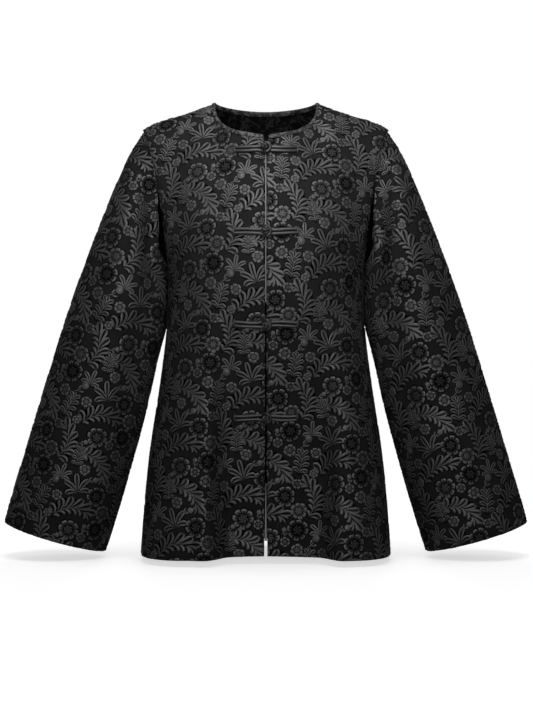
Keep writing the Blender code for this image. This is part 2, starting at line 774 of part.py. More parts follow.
def loop_side(number, frame, material, collection):
    """The wearer's right half: a pair of cords that open into the loop round the ball."""
    half, outer_end = CORD_SPACING / 2, -FROG_HALF_LENGTH + CORD_INTO_CAP
    low, high = CORD_GAP + CORD / 2, CORD_GAP + GAP + CORD * 1.5
    outward = cord_line(frame, number, outer_end, -LOOP_FLARE, half, 5)
    ring = []
    for angle in np.radians(np.linspace(LOOP_ENDS, -LOOP_ENDS, 15)):
        along, up = LOOP_RADIUS * math.cos(angle), LOOP_RADIUS * math.sin(angle)
        lift = low + (high - low) * smooth(along, -LOOP_RADIUS, LOOP_RADIUS / 2)
        ring.append(lay_on_front(frame, along, up, lift))
    inward = cord_line(frame, number, -LOOP_FLARE, outer_end, -half, 5)
    cord = tube("loop_cord", outward + ring + inward, collection)
    cap = end_cap("loop_cap", frame, -1, number, collection)
    return joined(f"frog_{number}_loop", [cord, cap], material, collection)


def knot_side(number, frame, material, collection):
    """The wearer's left half: a pair of cords that end in the knotted ball."""
    half = CORD_SPACING / 2
    lines = [
        cord_line(frame, number, FROG_HALF_LENGTH - CORD_INTO_CAP, 0.0008, up, 6) for up in (half, -half)
    ]
    cords = [tube(f"knot_cord_{i}", line, collection) for i, line in enumerate(lines)]
    cap = end_cap("knot_cap", frame, 1, number, collection)
    pieces = [cap, *cords, stem("stem", frame, collection), ball("ball", frame, collection)]
    return joined(f"frog_{number}_knot", pieces, material, collection)


# --- The jacket ---
def cloth_material(name, colour, roughness, sheen):
    material = bpy.data.materials.new(name)
    material.use_nodes = True
    shader = material.node_tree.nodes["Principled BSDF"]
    shader.inputs["Base Color"].default_value = colour
    shader.inputs["Roughness"].default_value = roughness
    shader.inputs["Metallic"].default_value = 0.0
    shader.inputs["Sheen Weight"].default_value = sheen
    material.diffuse_color = colour
    return material


def main():
    for obj in list(bpy.data.objects):
        bpy.data.objects.remove(obj)
    jacket = bpy.data.collections.new("tang_jacket")
    bpy.context.scene.collection.children.link(jacket)

    fronts, back, sleeves, front_normals, back_normals, sleeve_normals = cut_panels()
    for side, hand in ((1, "left"), (-1, "right")):
        for part, points, normals, wrap in (
            ("front", fronts[side], front_normals[side], False),
            ("sleeve", sleeves[side], sleeve_normals[side], True),
        ):
            name = f"{part}_{hand}"
            cloth = cloth_material(f"brocade_{name}", BLACK_BROCADE, 0.55, 0.1)
            wall_object(name, points, -WALL * normals, cloth, jacket, wrap)
    cloth = cloth_material("brocade_back", BLACK_BROCADE, 0.55, 0.1)
    wall_object("back", back, -WALL * back_normals, cloth, jacket)

    stations = binding_stations(fronts, back, front_normals, back_normals)
    neck_binding(stations, cloth_material("brocade_binding", BLACK_BROCADE, 0.55, 0.1), jacket)

    for number, drop in enumerate(FROG_DROPS, 1):
        frame = frog_frame(drop)
        for half, make in (("loop", loop_side), ("knot", knot_side)):
            satin = cloth_material(f"satin_{half}_{number}", BLACK_SATIN, 0.32, 0.0)
            make(number, frame, satin, jacket)


main()
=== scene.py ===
# %% [markdown]
# # A tang jacket in black brocade
# The real jacket is cut from one cloth: a back, two fronts and two wide sleeves of black floral brocade,
# a bias strip of the same brocade round the neck, and four frog buttons of satin cord down the front.
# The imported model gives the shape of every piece. This script keeps those shapes and gives them what
# the eye looks for: a woven figure that stands up from its ground, turned edges, stitches and satin cord.

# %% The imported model, which is the frame for everything below
import math

import bmesh
import bpy
import numpy as np
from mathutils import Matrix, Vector
from mathutils.bvhtree import BVHTree


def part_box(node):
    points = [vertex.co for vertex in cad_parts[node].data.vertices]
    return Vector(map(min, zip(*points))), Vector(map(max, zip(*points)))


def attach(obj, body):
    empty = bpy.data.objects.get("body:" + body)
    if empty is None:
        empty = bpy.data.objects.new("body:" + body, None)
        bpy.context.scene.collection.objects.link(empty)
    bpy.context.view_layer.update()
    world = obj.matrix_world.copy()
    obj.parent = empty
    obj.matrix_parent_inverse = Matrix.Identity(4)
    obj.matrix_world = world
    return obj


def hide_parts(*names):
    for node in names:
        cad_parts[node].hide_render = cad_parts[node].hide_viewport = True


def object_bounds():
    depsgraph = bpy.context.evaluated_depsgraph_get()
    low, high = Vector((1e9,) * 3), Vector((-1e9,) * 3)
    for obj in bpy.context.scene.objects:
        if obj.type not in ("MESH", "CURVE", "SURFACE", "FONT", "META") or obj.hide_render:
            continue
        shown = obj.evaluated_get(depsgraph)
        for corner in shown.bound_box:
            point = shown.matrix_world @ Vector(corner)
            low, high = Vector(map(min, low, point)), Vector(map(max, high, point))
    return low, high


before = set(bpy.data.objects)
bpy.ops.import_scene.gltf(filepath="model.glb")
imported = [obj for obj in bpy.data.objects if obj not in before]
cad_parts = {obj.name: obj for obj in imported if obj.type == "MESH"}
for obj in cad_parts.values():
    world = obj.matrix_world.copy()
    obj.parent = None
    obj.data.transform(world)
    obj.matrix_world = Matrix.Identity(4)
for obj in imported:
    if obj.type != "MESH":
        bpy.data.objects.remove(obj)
CAD_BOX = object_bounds()
MM = 0.001
PANELS = ("back", "front_left", "front_right", "sleeve_left", "sleeve_right")
print("nodes:", ", ".join(sorted(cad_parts)))

# %% [markdown]
# ## Small helpers
# A few jobs come up again and again: turning a colour picked on a screen into the linear value that a
# shader wants, adding a node with its settings and links in one line, putting a mesh in the scene, and
# counting its triangles.

# %% Colours, nodes and objects


def linear(code):
    """A colour from its sRGB hex code, as the linear values that a shader reads."""
    shares = [int(code[i : i + 2], 16) / 255 for i in (0, 2, 4)]
    return [s / 12.92 if s <= 0.04045 else ((s + 0.055) / 1.055) ** 2.4 for s in shares] + [1.0]


def add(tree, kind, inputs=(), **settings):
    """Adds a node. Each input is a value, or the socket or node whose first output feeds it."""
    node = tree.nodes.new(kind)
    for name, value in settings.items():
        setattr(node, name, value)
    for name, value in dict(inputs).items():
        source = value.outputs[0] if isinstance(value, bpy.types.Node) else value
        if isinstance(source, bpy.types.NodeSocket):
            tree.links.new(source, node.inputs[name])
        else:
            node.inputs[name].default_value = value
    return node


def place(name, data):
    """Puts a mesh or curve in the scene as an object at the origin."""
    made = bpy.data.objects.new(name, data)
    bpy.context.scene.collection.objects.link(made)
    return made


def applied(thing):
    """Swaps an object's modifiers for the mesh that they make."""
    graph = bpy.context.evaluated_depsgraph_get()
    graph.update()
    data = bpy.data.meshes.new_from_object(thing.evaluated_get(graph), depsgraph=graph)
    data.name = thing.name
    made = place(thing.name + ".made", data)
    name = thing.name
    bpy.data.objects.remove(thing)
    made.name = name
    return made


def numbers(data, kind="co"):
    """The points or normals of a mesh, as an array with a row for each."""
    values = np.empty(len(data.vertices) * 3, np.float32)
    if kind == "co":
        data.vertices.foreach_get("co", values)
    else:
        data.vertex_normals.foreach_get("vector", values)
    return values.reshape(-1, 3).astype(float)


def triangles(thing):
    """How many triangles an object's faces make."""
    return sum(len(face.vertices) - 2 for face in thing.data.polygons)


print(f"the screen's middle grey, 808080, is {linear('808080')[0]:.3f} in linear light")

# %% [markdown]
# ## Camera, floor and light
# Clothes are shot for a shop window on white, from far enough away that the shoulders and the hem are seen
# nearly square on. The lens is long for the same reason. Two small lights close in front open only 45
# degrees, so they put a sheen on the chest and let the rest fall away. Wide soft lights low in front, above
# and behind fill in, so the relief of the brocade shows without a hard shadow. The floor and the surround
# are white to the camera alone. They give the jacket little light, or its black would turn grey.

# %% Camera
camera_data = bpy.data.cameras.new("long lens")
camera_data.sensor_fit = "VERTICAL"
camera_data.sensor_height = 36.0
camera_data.lens = 99.23
CAMERA_PLACE = Vector((0.001, -2.85, -0.270))
CAMERA_AIM = Vector((0.001, 0.0, -0.367))
camera = place("camera", camera_data)
camera.location = CAMERA_PLACE
camera.rotation_euler = (CAMERA_AIM - CAMERA_PLACE).to_track_quat("-Z", "Y").to_euler()
bpy.context.scene.camera = camera
bpy.context.scene.view_settings.view_transform = "Standard"
print(f"camera {(CAMERA_AIM - CAMERA_PLACE).length:.2f} m away, lens {camera_data.lens:.0f} mm")

# %% Floor
FLOOR_DROP = 0.008  # metres from the hem down to the floor
FLOOR_HALF = 1.0  # metres from its middle to an edge
FLOOR_FORWARD = 0.35  # metres that its middle lies in front of the jacket
FLOOR_GLOW = 0.615  # what the camera sees on top of the lit paint
FLOOR_BOUNCE = 0.10  # what the jacket gets from it
WHITE = (1, 1, 1, 1)
FLOOR_Z = CAD_BOX[0][2] - FLOOR_DROP


def seen_apart(tree, by_camera, by_jacket):
    """Mixes two shaders: what the camera sees, and what lights the jacket."""
    camera_ray = add(tree, "ShaderNodeLightPath").outputs["Is Camera Ray"]
    return add(tree, "ShaderNodeMixShader", {0: camera_ray, 1: by_jacket, 2: by_camera})


studio_paint = bpy.data.materials.new("white studio paint")
studio_paint.use_nodes = True
paint = studio_paint.node_tree
paint.nodes.clear()
matt = add(paint, "ShaderNodeBsdfDiffuse", {"Color": linear("F2F2F2")})
glow = add(paint, "ShaderNodeEmission", {"Color": WHITE, "Strength": FLOOR_GLOW})
lit_paint = add(paint, "ShaderNodeAddShader", {0: matt, 1: glow})
bounce = add(paint, "ShaderNodeEmission", {"Color": WHITE, "Strength": FLOOR_BOUNCE})
add(paint, "ShaderNodeOutputMaterial", {"Surface": seen_apart(paint, lit_paint, bounce)})

floor_mesh = bmesh.new()
bmesh.ops.create_grid(floor_mesh, x_segments=1, y_segments=1, size=FLOOR_HALF)
bmesh.ops.translate(floor_mesh, verts=floor_mesh.verts, vec=(0, -FLOOR_FORWARD, FLOOR_Z))
floor_data = bpy.data.meshes.new("floor")
floor_mesh.to_mesh(floor_data)
floor_mesh.free()
floor_data.materials.append(studio_paint)
floor = place("floor", floor_data)
print(f"floor at z {FLOOR_Z:.3f} m")

# %% Lights and surround
LIGHT_AIM = Vector((0, 0, -0.12))  # the middle of the chest
LIGHTS = (
    # name, x, y, z, width, power in watts, how wide it opens in degrees
    ("key, left of the middle", -0.14, -0.68, 0.30, 0.30, 0.20, 45),
    ("key, right of the middle", 0.14, -0.68, 0.30, 0.30, 0.20, 45),
    ("low front fill", 0.0, -2.3, -0.5, 1.4, 23.0, 180),
    ("top", 0.0, -0.30, 2.2, 1.6, 24.0, 180),
    ("behind, for the back", 0.0, 2.4, 0.6, 1.2, 22.0, 180),
)
for light_name, x, y, z, width, power, opening in LIGHTS:
    light_data = bpy.data.lights.new(light_name, "AREA")
    light_data.size = width
    light_data.energy = power
    light_data.spread = math.radians(opening)
    light = place(light_name, light_data)
    light.location = (x, y, z)
    light.rotation_euler = (LIGHT_AIM - light.location).to_track_quat("-Z", "Y").to_euler()

SURROUND_SEEN, SURROUND_LIGHT = 1.0, 0.12  # what the camera sees, and what the jacket gets
world = bpy.data.worlds.new("white surround")
world.use_nodes = True
bpy.context.scene.world = world
sky = world.node_tree
sky.nodes.clear()
sky_seen = add(sky, "ShaderNodeBackground", {"Color": WHITE, "Strength": SURROUND_SEEN})
sky_light = add(sky, "ShaderNodeBackground", {"Color": WHITE, "Strength": SURROUND_LIGHT})
add(sky, "ShaderNodeOutputWorld", {"Surface": seen_apart(sky, sky_seen, sky_light)})
print(len(LIGHTS), "lights")

# %% [markdown]
# ## The cloth panels
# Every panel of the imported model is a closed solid: an outer face, an inner face and the cut edges between.
# Only the outer face is wanted here. It is found as the largest stretch of the solid that has no sharp edge,
# its triangles are joined back into quads, and two rounds of subdivision make it smooth. That keeps the
# panel's true shape and size, which a new surface modelled by eye wouldn't.

# %% The outer face of a solid
SHARP = math.radians(50)  # an edge that bends more than this is a cut edge of the cloth
MERGED = 0.02  # mm, the most between corners that are one
QUAD_BEND = math.radians(60)  # the most that a pair of triangles may bend to become a quad
SUBDIVISIONS = 2


def merged(node):
    """A node's loose triangles, joined at their corners, ready to be edited."""
    mesh = bmesh.new()
    mesh.from_mesh(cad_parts[node].data)
    bmesh.ops.remove_doubles(mesh, verts=mesh.verts, dist=MERGED * MM)
    return mesh


def in_quads(mesh, name):
    """The edited mesh as an object, after its triangles are paired into quads."""
    bmesh.ops.join_triangles(
        mesh,
        faces=mesh.faces,
        angle_face_threshold=QUAD_BEND,
        angle_shape_threshold=QUAD_BEND,
        topology_influence=1.0,
    )
    data = bpy.data.meshes.new(name)
    mesh.to_mesh(data)
    mesh.free()
    return place(name, data)


def outer_face(node):
    """The largest smooth stretch of a node's solid, in quads, as an object."""
    mesh = merged(node)
    seen, largest, largest_area = set(), [], 0.0
    for first in mesh.faces:
        if first in seen:
            continue
        seen.add(first)
        stretch = [first]
        for face in stretch:
            for edge in face.edges:
                if len(edge.link_faces) == 2 and edge.calc_face_angle() < SHARP:
                    fresh = [other for other in edge.link_faces if other not in seen]
                    seen.update(fresh)
                    stretch += fresh
        area = sum(face.calc_area() for face in stretch)
        if area > largest_area:
            largest, largest_area = stretch, area
    kept = set(largest)
    bmesh.ops.delete(mesh, geom=[face for face in mesh.faces if face not in kept], context="FACES")
    return in_quads(mesh, node + ".outer")


def smoothed(thing):
    """The object after its rounds of subdivision, with the corners of its rim kept sharp."""
    rounds = thing.modifiers.new("smooth", "SUBSURF")
    rounds.levels = rounds.render_levels = SUBDIVISIONS
    rounds.boundary_smooth = "PRESERVE_CORNERS"
    return applied(thing)


skins, flat_areas = {}, {}
for node in PANELS:
    skins[node] = smoothed(outer_face(node))
    flat_areas[node] = sum(face.area for face in skins[node].data.polygons)
    print(f"{node}: {len(skins[node].data.polygons)} quads, {flat_areas[node]:.3f} square metres")

# %% [markdown]
# ## Creases
# Worn brocade never hangs as flat as its pattern. It draws in beside the armholes, breaks softly at the
# elbow and ripples above the hem. Each crease is one row: where it starts and ends, how wide and deep it is.
# A point is moved along its own normal by how near it lies to the crease's line, with a smooth fall-off.
# The sides that the camera doesn't see get creases of the same kind.

# %% Soft creases
LEFT, RIGHT, BOTH = (1,), (-1,), (-1, 1)  # the wearer's left has positive x
CREASES = (
    # panel, its side, metres from the middle and height of one end, the same for the other end,
    # half width mm, depth mm (a ridge is positive), and which face of the panel it lies on
    ("sleeve", BOTH, 0.172, -0.060, 0.150, -0.300, 18, -18.0, "front"),
    ("sleeve", BOTH, 0.150, -0.270, 0.158, -0.345, 16, 3.5, "inner"),
    ("sleeve", BOTH, 0.196, -0.120, 0.232, -0.330, 13, 2.0, "front"),
    ("sleeve", BOTH, 0.190, -0.330, 0.215, -0.560, 16, -3.0, "front"),
    ("sleeve", RIGHT, 0.250, -0.300, 0.210, -0.345, 10, -2.0, "front"),
    ("sleeve", LEFT, 0.250, -0.290, 0.212, -0.335, 10, -2.0, "front"),
    ("sleeve", RIGHT, 0.270, -0.330, 0.310, -0.600, 16, 2.2, "front"),
    ("sleeve", LEFT, 0.275, -0.340, 0.300, -0.600, 15, 2.0, "front"),
    ("sleeve", BOTH, 0.175, -0.100, 0.190, -0.330, 15, -4.0, "back"),
    ("sleeve", RIGHT, 0.240, -0.300, 0.205, -0.350, 12, -2.0, "back"),
    ("sleeve", LEFT, 0.240, -0.310, 0.205, -0.355, 12, -2.0, "back"),
    ("sleeve", RIGHT, 0.250, -0.340, 0.280, -0.600, 16, 2.0, "back"),
    ("sleeve", LEFT, 0.255, -0.340, 0.285, -0.600, 16, 2.0, "back"),
    ("front", RIGHT, 0.110, -0.130, 0.055, -0.160, 12, -1.6, "front"),
    ("front", RIGHT, 0.140, -0.230, 0.085, -0.330, 16, -2.2, "front"),
    ("front", RIGHT, 0.050, -0.320, 0.070, -0.620, 15, -2.6, "front"),
    ("front", RIGHT, 0.104, -0.330, 0.118, -0.630, 14, 2.0, "front"),
    ("front", LEFT, 0.110, -0.130, 0.060, -0.165, 12, -1.6, "front"),
    ("front", LEFT, 0.140, -0.230, 0.090, -0.330, 16, -2.2, "front"),
    ("front", LEFT, 0.088, -0.320, 0.096, -0.620, 15, -2.6, "front"),
    ("front", LEFT, 0.120, -0.340, 0.140, -0.630, 14, 2.0, "front"),
    ("back", BOTH, 0.120, -0.130, 0.060, -0.170, 13, -1.8, "back"),
    ("back", BOTH, 0.140, -0.240, 0.095, -0.340, 16, -2.2, "back"),
    ("back", RIGHT, 0.075, -0.330, 0.090, -0.630, 16, -2.4, "back"),
    ("back", LEFT, 0.020, -0.360, 0.010, -0.630, 15, 2.0, "back"),
    ("back", LEFT, 0.085, -0.330, 0.100, -0.630, 16, -2.4, "back"),
)


def crease(kind, side, out0, z0, out1, z1, half_width, depth, face):
    """Moves the points of one panel along their normals, near a line seen from the front."""
    data = skins[kind if kind == "back" else f"{kind}_{'left' if side > 0 else 'right'}"].data
    facing = {"front": (0, -1, 0), "back": (0, 1, 0), "inner": (-side, 0, 0)}[face]
    points, normals = numbers(data), numbers(data, "normal")
    start, along = np.array([side * out0, z0]), np.array([side * (out1 - out0), z1 - z0])
    flat = points[:, [0, 2]] - start
    share = np.clip(flat @ along / (along @ along), 0, 1)
    away = np.linalg.norm(flat - share[:, None] * along, axis=1) / (half_width * MM)
    ends = np.sin(math.pi * np.clip(0.08 + 0.84 * share, 0, 1))  # it fades out towards both ends
    towards = np.clip(normals @ facing * 3, 0, 1)
    moved = points + normals * (depth * MM * np.exp(-away * away) * ends * towards)[:, None]
    data.vertices.foreach_set("co", moved.astype(np.float32).ravel())
    data.update()


for kind, sides, *shape in CREASES:
    for side in sides:
        crease(kind, side, *shape)
print(sum(len(row[1]) for row in CREASES), "creases")

# %% Seams that sink in
SEAM_SINK = 1.0  # mm that a pressed seam draws a panel's rim in, on the front
ARMHOLE_SINK = 2.8  # mm, the same for a sleeve at the armhole
LEAST_SINK = 0.2  # mm, everywhere
TUCK_INWARDS, TUCK_FORWARDS = 2.2, 1.2  # mm that a sleeve's rim goes in under the back
ARMHOLE_ABOVE = -0.40  # metres: a sleeve's rim above this height is its armhole, and not its cuff
SHOULDER, SHOULDER_FADE = -0.055, 0.05  # metres: over the shoulder, sleeve and body stay level


def sink_edges(panel):
    """Draws a panel's rim in on the front, as a pressed seam does, and tucks a sleeve in under the back."""
    data = skins[panel].data
    mesh = bmesh.new()
    mesh.from_mesh(data)
    for vert in [v for v in mesh.verts if v.is_boundary]:
        in_front = min(max(0.2 - 2.5 * vert.normal.y, 0.0), 1.0)
        behind = min(max(0.4 + 2.5 * vert.normal.y, 0.0), 1.0)
        deepest = SEAM_SINK
        if panel.startswith("sleeve") and vert.co.z > ARMHOLE_ABOVE:
            deepest = ARMHOLE_SINK * min(max((SHOULDER - vert.co.z) / SHOULDER_FADE, 0.0), 1.0)
            tuck = Vector((math.copysign(TUCK_INWARDS, vert.co.x), TUCK_FORWARDS, 0))
            vert.co -= tuck * (behind * MM)
        vert.co -= vert.normal * (max(deepest * in_front, LEAST_SINK) * MM)
    mesh.to_mesh(data)
    mesh.free()


for panel in skins:
    sink_edges(panel)
print("seams sunk on", len(skins), "panels")

# %% [markdown]
# ## The flat pattern of each panel
# Brocade is woven flat and cut afterwards, so its flowers follow the cut and not the folds. Unwrapping a
# panel gives its flat pattern back: a map from each point of the worn cloth to its place on the flat cloth.
# The sleeve is a tube, so it is first opened along the seam under the arm. The map is turned until the
# grain runs up the panel, and sized so that a square millimetre of cloth stays one.

# %% Opening the sleeves


def open_tube(data):
    """Marks the seam under the arm: the edge line that starts at the armhole's lowest point."""
    mesh = bmesh.new()
    mesh.from_mesh(data)
    rim = [v for v in mesh.verts if v.is_boundary]
    halfway = (max(v.co.z for v in rim) + min(v.co.z for v in rim)) / 2
    armhole = [v for v in rim if v.co.z > halfway - 0.05]
    vert = min(armhole, key=lambda v: v.co.z)
    edge = next(e for e in vert.link_edges if not e.is_boundary)
    edge.seam = True
    while True:
        vert = edge.other_vert(vert)
        if vert.is_boundary:
            break
        faces = set(edge.link_faces)
        edge = next(e for e in vert.link_edges if not faces & set(e.link_faces))
        edge.seam = True
    mesh.to_mesh(data)
    mesh.free()


for node in PANELS:
    if node.startswith("sleeve"):
        open_tube(skins[node].data)
        print(f"{node}: {sum(edge.use_seam for edge in skins[node].data.edges)} edges of seam")

# %% Unwrapping a panel to real size


def flat_pattern(thing):
    """Gives the panel a UV map in metres of flat cloth, with the grain up, and returns its size."""
    data = thing.data
    data.uv_layers.new(name="cloth")
    bpy.context.view_layer.objects.active = thing
    thing.select_set(True)
    bpy.ops.object.mode_set(mode="EDIT")
    bpy.ops.mesh.select_all(action="SELECT")
    bpy.ops.uv.unwrap(method="ANGLE_BASED", margin=0.0)
    bpy.ops.object.mode_set(mode="OBJECT")
    thing.select_set(False)
    uv = np.empty(len(data.loops) * 2, np.float32)
    data.uv_layers["cloth"].uv.foreach_get("vector", uv)
    uv = uv.reshape(-1, 2).astype(float)
    corner = np.empty(len(data.loops), np.int32)
    data.loops.foreach_get("vertex_index", corner)
    height = numbers(data)[corner, 2]
    worn_area = sum(face.area for face in data.polygons)
    starts = np.array([face.loop_start for face in data.polygons])
    a, b, c, d = (uv[starts + i] for i in range(4))  # the four corners of every quad
    signed = ((c - a)[:, 0] * (d - b)[:, 1] - (c - a)[:, 1] * (d - b)[:, 0]).sum() / 2
    if signed < 0:
        uv[:, 0] *= -1
    uv *= math.sqrt(worn_area / abs(signed))
    uv -= uv.mean(axis=0)
    slope = np.linalg.lstsq(np.column_stack([uv, np.ones(len(uv))]), height, rcond=None)[0][:2]
    up = slope / np.linalg.norm(slope)
    uv = np.column_stack([uv @ [up[1], -up[0]], uv @ up])
    uv -= uv.min(axis=0)
    data.uv_layers["cloth"].uv.foreach_set("vector", uv.astype(np.float32).ravel())
    return uv.max(axis=0)


cuts = {}
for node in PANELS:
    cuts[node] = flat_pattern(skins[node])
    print(f"{node}: cut from {cuts[node][0] * 1000:.0f} x {cuts[node][1] * 1000:.0f} mm")

# %% [markdown]
# ## The brocade's figure, drawn leaf by leaf
# The cloth is a jacquard: a dull fine ground, and on it flowers, palmette and acanthus leaves woven in a
# shiny weft that stands proud by up to three quarters of a millimetre. Weavers everywhere have used such
# motifs. Each is drawn here in millimetres from two shapes that follow a rule: a lobe, which is a strip
# that swells and rounds off along an arc, and a ring of petals. A point's third number is its height, from 0
# at the ground to 1 at the top of the figure. It becomes the relief, and it also colours the thread: the low
# parts get painted shade and the ridges a painted highlight.

# %% Strips along an arc
WIDE_LOBE = (
    # share of the half width, height: a low border that is painted black as shade, then two ridges with a
    # vein between
    (-1.0, -0.07),
    (-0.80, 0.09),
    (-0.58, 1.0),
    (-0.22, 0.55),
    (0.0, 0.05),
    (0.22, 0.55),
    (0.58, 1.0),
    (0.80, 0.09),
    (1.0, -0.07),
)
SMALL_LOBE = ((-1.0, -0.07), (-0.76, 0.10), (0.0, 1.0), (0.76, 0.10), (1.0, -0.07))
STEM = ((-1.0, -0.1), (-0.45, 0.8), (0.45, 0.8), (1.0, -0.1))
BLADE = ((-1.0, -0.07), (-0.85, 0.05), (-0.45, 0.05), (0.0, 0.05), (0.45, 0.05), (0.85, 0.05), (1.0, -0.07))
ROOTED = -0.1  # the height of a rim that is rooted in the ground


def arc(x, y, turn, long, bend, shares, curl=1.0):
    """Points and headings at these shares of an arc. It bends evenly, or late where curl is above 1."""
    headings = np.radians(turn + bend * shares**curl)
    middles = (headings[:-1] + headings[1:]) / 2
    steps = np.column_stack([np.cos(middles), np.sin(middles)]) * (np.diff(shares) * long)[:, None]
    return np.vstack([[0, 0], np.cumsum(steps, axis=0)]) + [x, y], headings


def strip(line, headings, half_widths, section, height=1.0):
    """A grid of points: the section, as shares across and heights, carried along a line."""
    aside = np.column_stack([-np.sin(headings), np.cos(headings)])
    rows = []
    for point, side, half in zip(line, aside, half_widths):
        rows.append([[*(point + side * half * across), up * height] for across, up in section])
    return np.array(rows)


def lobe(x, y, turn, long, bend, wide, section=WIDE_LOBE, steps=6):
    """A club-shaped leaf lobe: narrow at its root, round at its tip, ridged along its length."""
    shares = 1 - (1 - np.linspace(0, 1, steps + 1)) ** 1.9
    line, headings = arc(x, y, turn, long, bend * 1.25, shares, 1.8)
    grow = np.clip(shares / 0.75, 0, 1)
    belly = 0.34 + 0.66 * grow * grow * (3 - 2 * grow)
    belly *= np.sqrt(1 - np.clip((shares - 0.66) / 0.34, 0, 1) ** 2.6 * 0.99)
    height = 1 - 0.05 * abs(math.sin(3 * turn))  # neighbours differ a little, so that no two faces coincide
    grid = strip(line, headings, wide / 2 * belly, section, height)
    grid[-2, len(section) // 2, 2] = 0.95 * height  # the ridges join round the tip
    grid[-1, :, 2] = ROOTED
    grid[0, :, 2] = np.minimum(grid[0, :, 2], 0.3)
    return [grid]


def stem(x, y, turn, long, bend, wide, steps=8):
    """A rounded rib that tapers to both ends."""
    shares = np.linspace(0, 1, steps + 1)
    line, headings = arc(x, y, turn, long, bend, shares)
    grid = strip(line, headings, wide / 2 * (0.55 + 0.45 * np.sin(math.pi * shares)), STEM, 0.9)
    grid[0, :, 2] = grid[-1, :, 2] = ROOTED
    return [grid]


def blade(line, headings, half_widths):
    """The low body of a leaf, under its lobes; it is low enough to be painted near black, as shade between
    them.
    """
    grid = strip(line, headings, half_widths, BLADE)
    grid[0, :, 2] = grid[-1, :, 2] = ROOTED
    return [grid]


print("a lobe is a grid of", " x ".join(str(n) for n in lobe(0, 0, 0, 20, 60, 10)[0].shape[:2]), "points")

# %% Leaves
FINE = 48  # steps along a leaf's middle line, so that a lobe can leave it almost anywhere


def plume(long=60, bend=10, pairs=4):
    """A palmette leaf: pairs of lobes that leave the stem and curl over, and one at the tip."""
    shares = np.linspace(0, 1, 8)
    line, headings = arc(0, 0, 0, long * 0.95, bend, shares)
    grids = blade(line, headings, long * (0.03 + 0.22 * np.sin(math.pi * shares)))
    line, headings = arc(0, 0, 0, long * 0.74, bend, np.linspace(0, 1, FINE + 1))
    for share in np.linspace(0.12, 0.94, pairs):
        at = round(share * FINE)
        (x, y), head = line[at], math.degrees(headings[at])
        size = long * (0.32 + 0.10 * math.sin(math.pi * (0.05 + 0.72 * share)))
        wide = long * (0.29 - 0.05 * share)
        start, curl = 30 - 14 * share, 120 - 78 * share
        for side in (-1, 1):
            grids += lobe(x, y, head + side * start, size, side * curl, wide, steps=5)
    (x, y), head = line[-1], math.degrees(headings[-1])
    grids += lobe(x, y, head, long * 0.32, bend, long * 0.20)
    return grids + stem(0, 0, 0, long * 0.84, bend, long * 0.05)


def acanthus(long=70, bend=-84, lobes=6):
    """Half an acanthus leaf: long curled lobes outside its bend, short ones inside, and a rolled tip."""
    shares = np.linspace(0, 1, 11)
    line, headings = arc(0, 0, 0, long * 1.06, bend, shares)
    outside = -1 if bend > 0 else 1
    aside = np.column_stack([-np.sin(headings), np.cos(headings)]) * outside
    swell = np.sin(math.pi * shares) ** 0.7
    grids = blade(line + aside * (long * 0.07 * swell)[:, None], headings, long * (0.03 + 0.20 * swell))
    line, headings = arc(0, 0, 0, long, bend, np.linspace(0, 1, FINE + 1))
    for share in np.linspace(0.04, 0.94, lobes):
        at = round(share * FINE)
        (x, y), head = line[at], math.degrees(headings[at])
        size = long * (0.32 + 0.12 * math.sin(math.pi * (0.10 + 0.66 * share)))
        curl = outside * (92 - 116 * share)
        grids += lobe(x, y, head + outside * 22, size, curl, long * 0.29)
        grids += lobe(x, y, head - outside * 18, size * 0.62, -outside * 84, long * 0.20, SMALL_LOBE, 5)
    (x, y), head = line[-1], math.degrees(headings[-1])
    for lean in (-18, 12):
        grids += lobe(x, y, head + lean, long * 0.28, bend * 0.4, long * 0.12, SMALL_LOBE, 5)
    return grids + stem(0, 0, 0, long * 1.04, bend, long * 0.05)


def fan(long=40, lobes=5, open_by=112):
    """A half palmette: a fan of lobes from one root, with the middle one longest."""
    grids = []
    for share in np.linspace(-1, 1, lobes):
        size = long * (1 - 0.34 * share * share)
        grids += lobe(0, 0, share * open_by / 2, size, share * 80, long * 0.40)
    return grids


for leaf in (plume, acanthus, fan):
    print(f"{leaf.__name__}: {len(leaf())} strips")

# %% Flowers and buds
PETAL = ((0.0, 0.05), (0.22, 0.40), (0.55, 0.62), (0.86, 1.0), (1.0, 0.09))  # share outwards, height
SMALL_PETAL = ((0.0, 0.05), (0.35, 0.9), (0.80, 1.0), (1.0, 0.09))
HEART = ((1.06, ROOTED), (0.90, 0.30), (0.52, 0.36), (0.02, 0.40))
SEEDS = 12  # round a flower's heart
BUD = (
    # share of the width, height, share of the way ahead: a round bud with a rolled lip
    (1.0, ROOTED, 0.0),
    (0.86, 0.9, 0.0),
    (0.62, 0.35, 0.1),
    (0.42, 0.75, 0.2),
    (0.03, 0.9, 0.25),
)


def ring(middle, reach, angles, height):
    """One row of points round a middle, each at its reach and height."""
    (x, y), level = middle, height + 0 * angles
    return np.column_stack([x + reach * np.cos(angles), y + reach * np.sin(angles), level])


def closed(rows):
    """A grid from rows of points round a middle, with the first column repeated at the end."""
    grid = np.array(rows)
    return np.concatenate([grid, grid[:, :1]], axis=1)


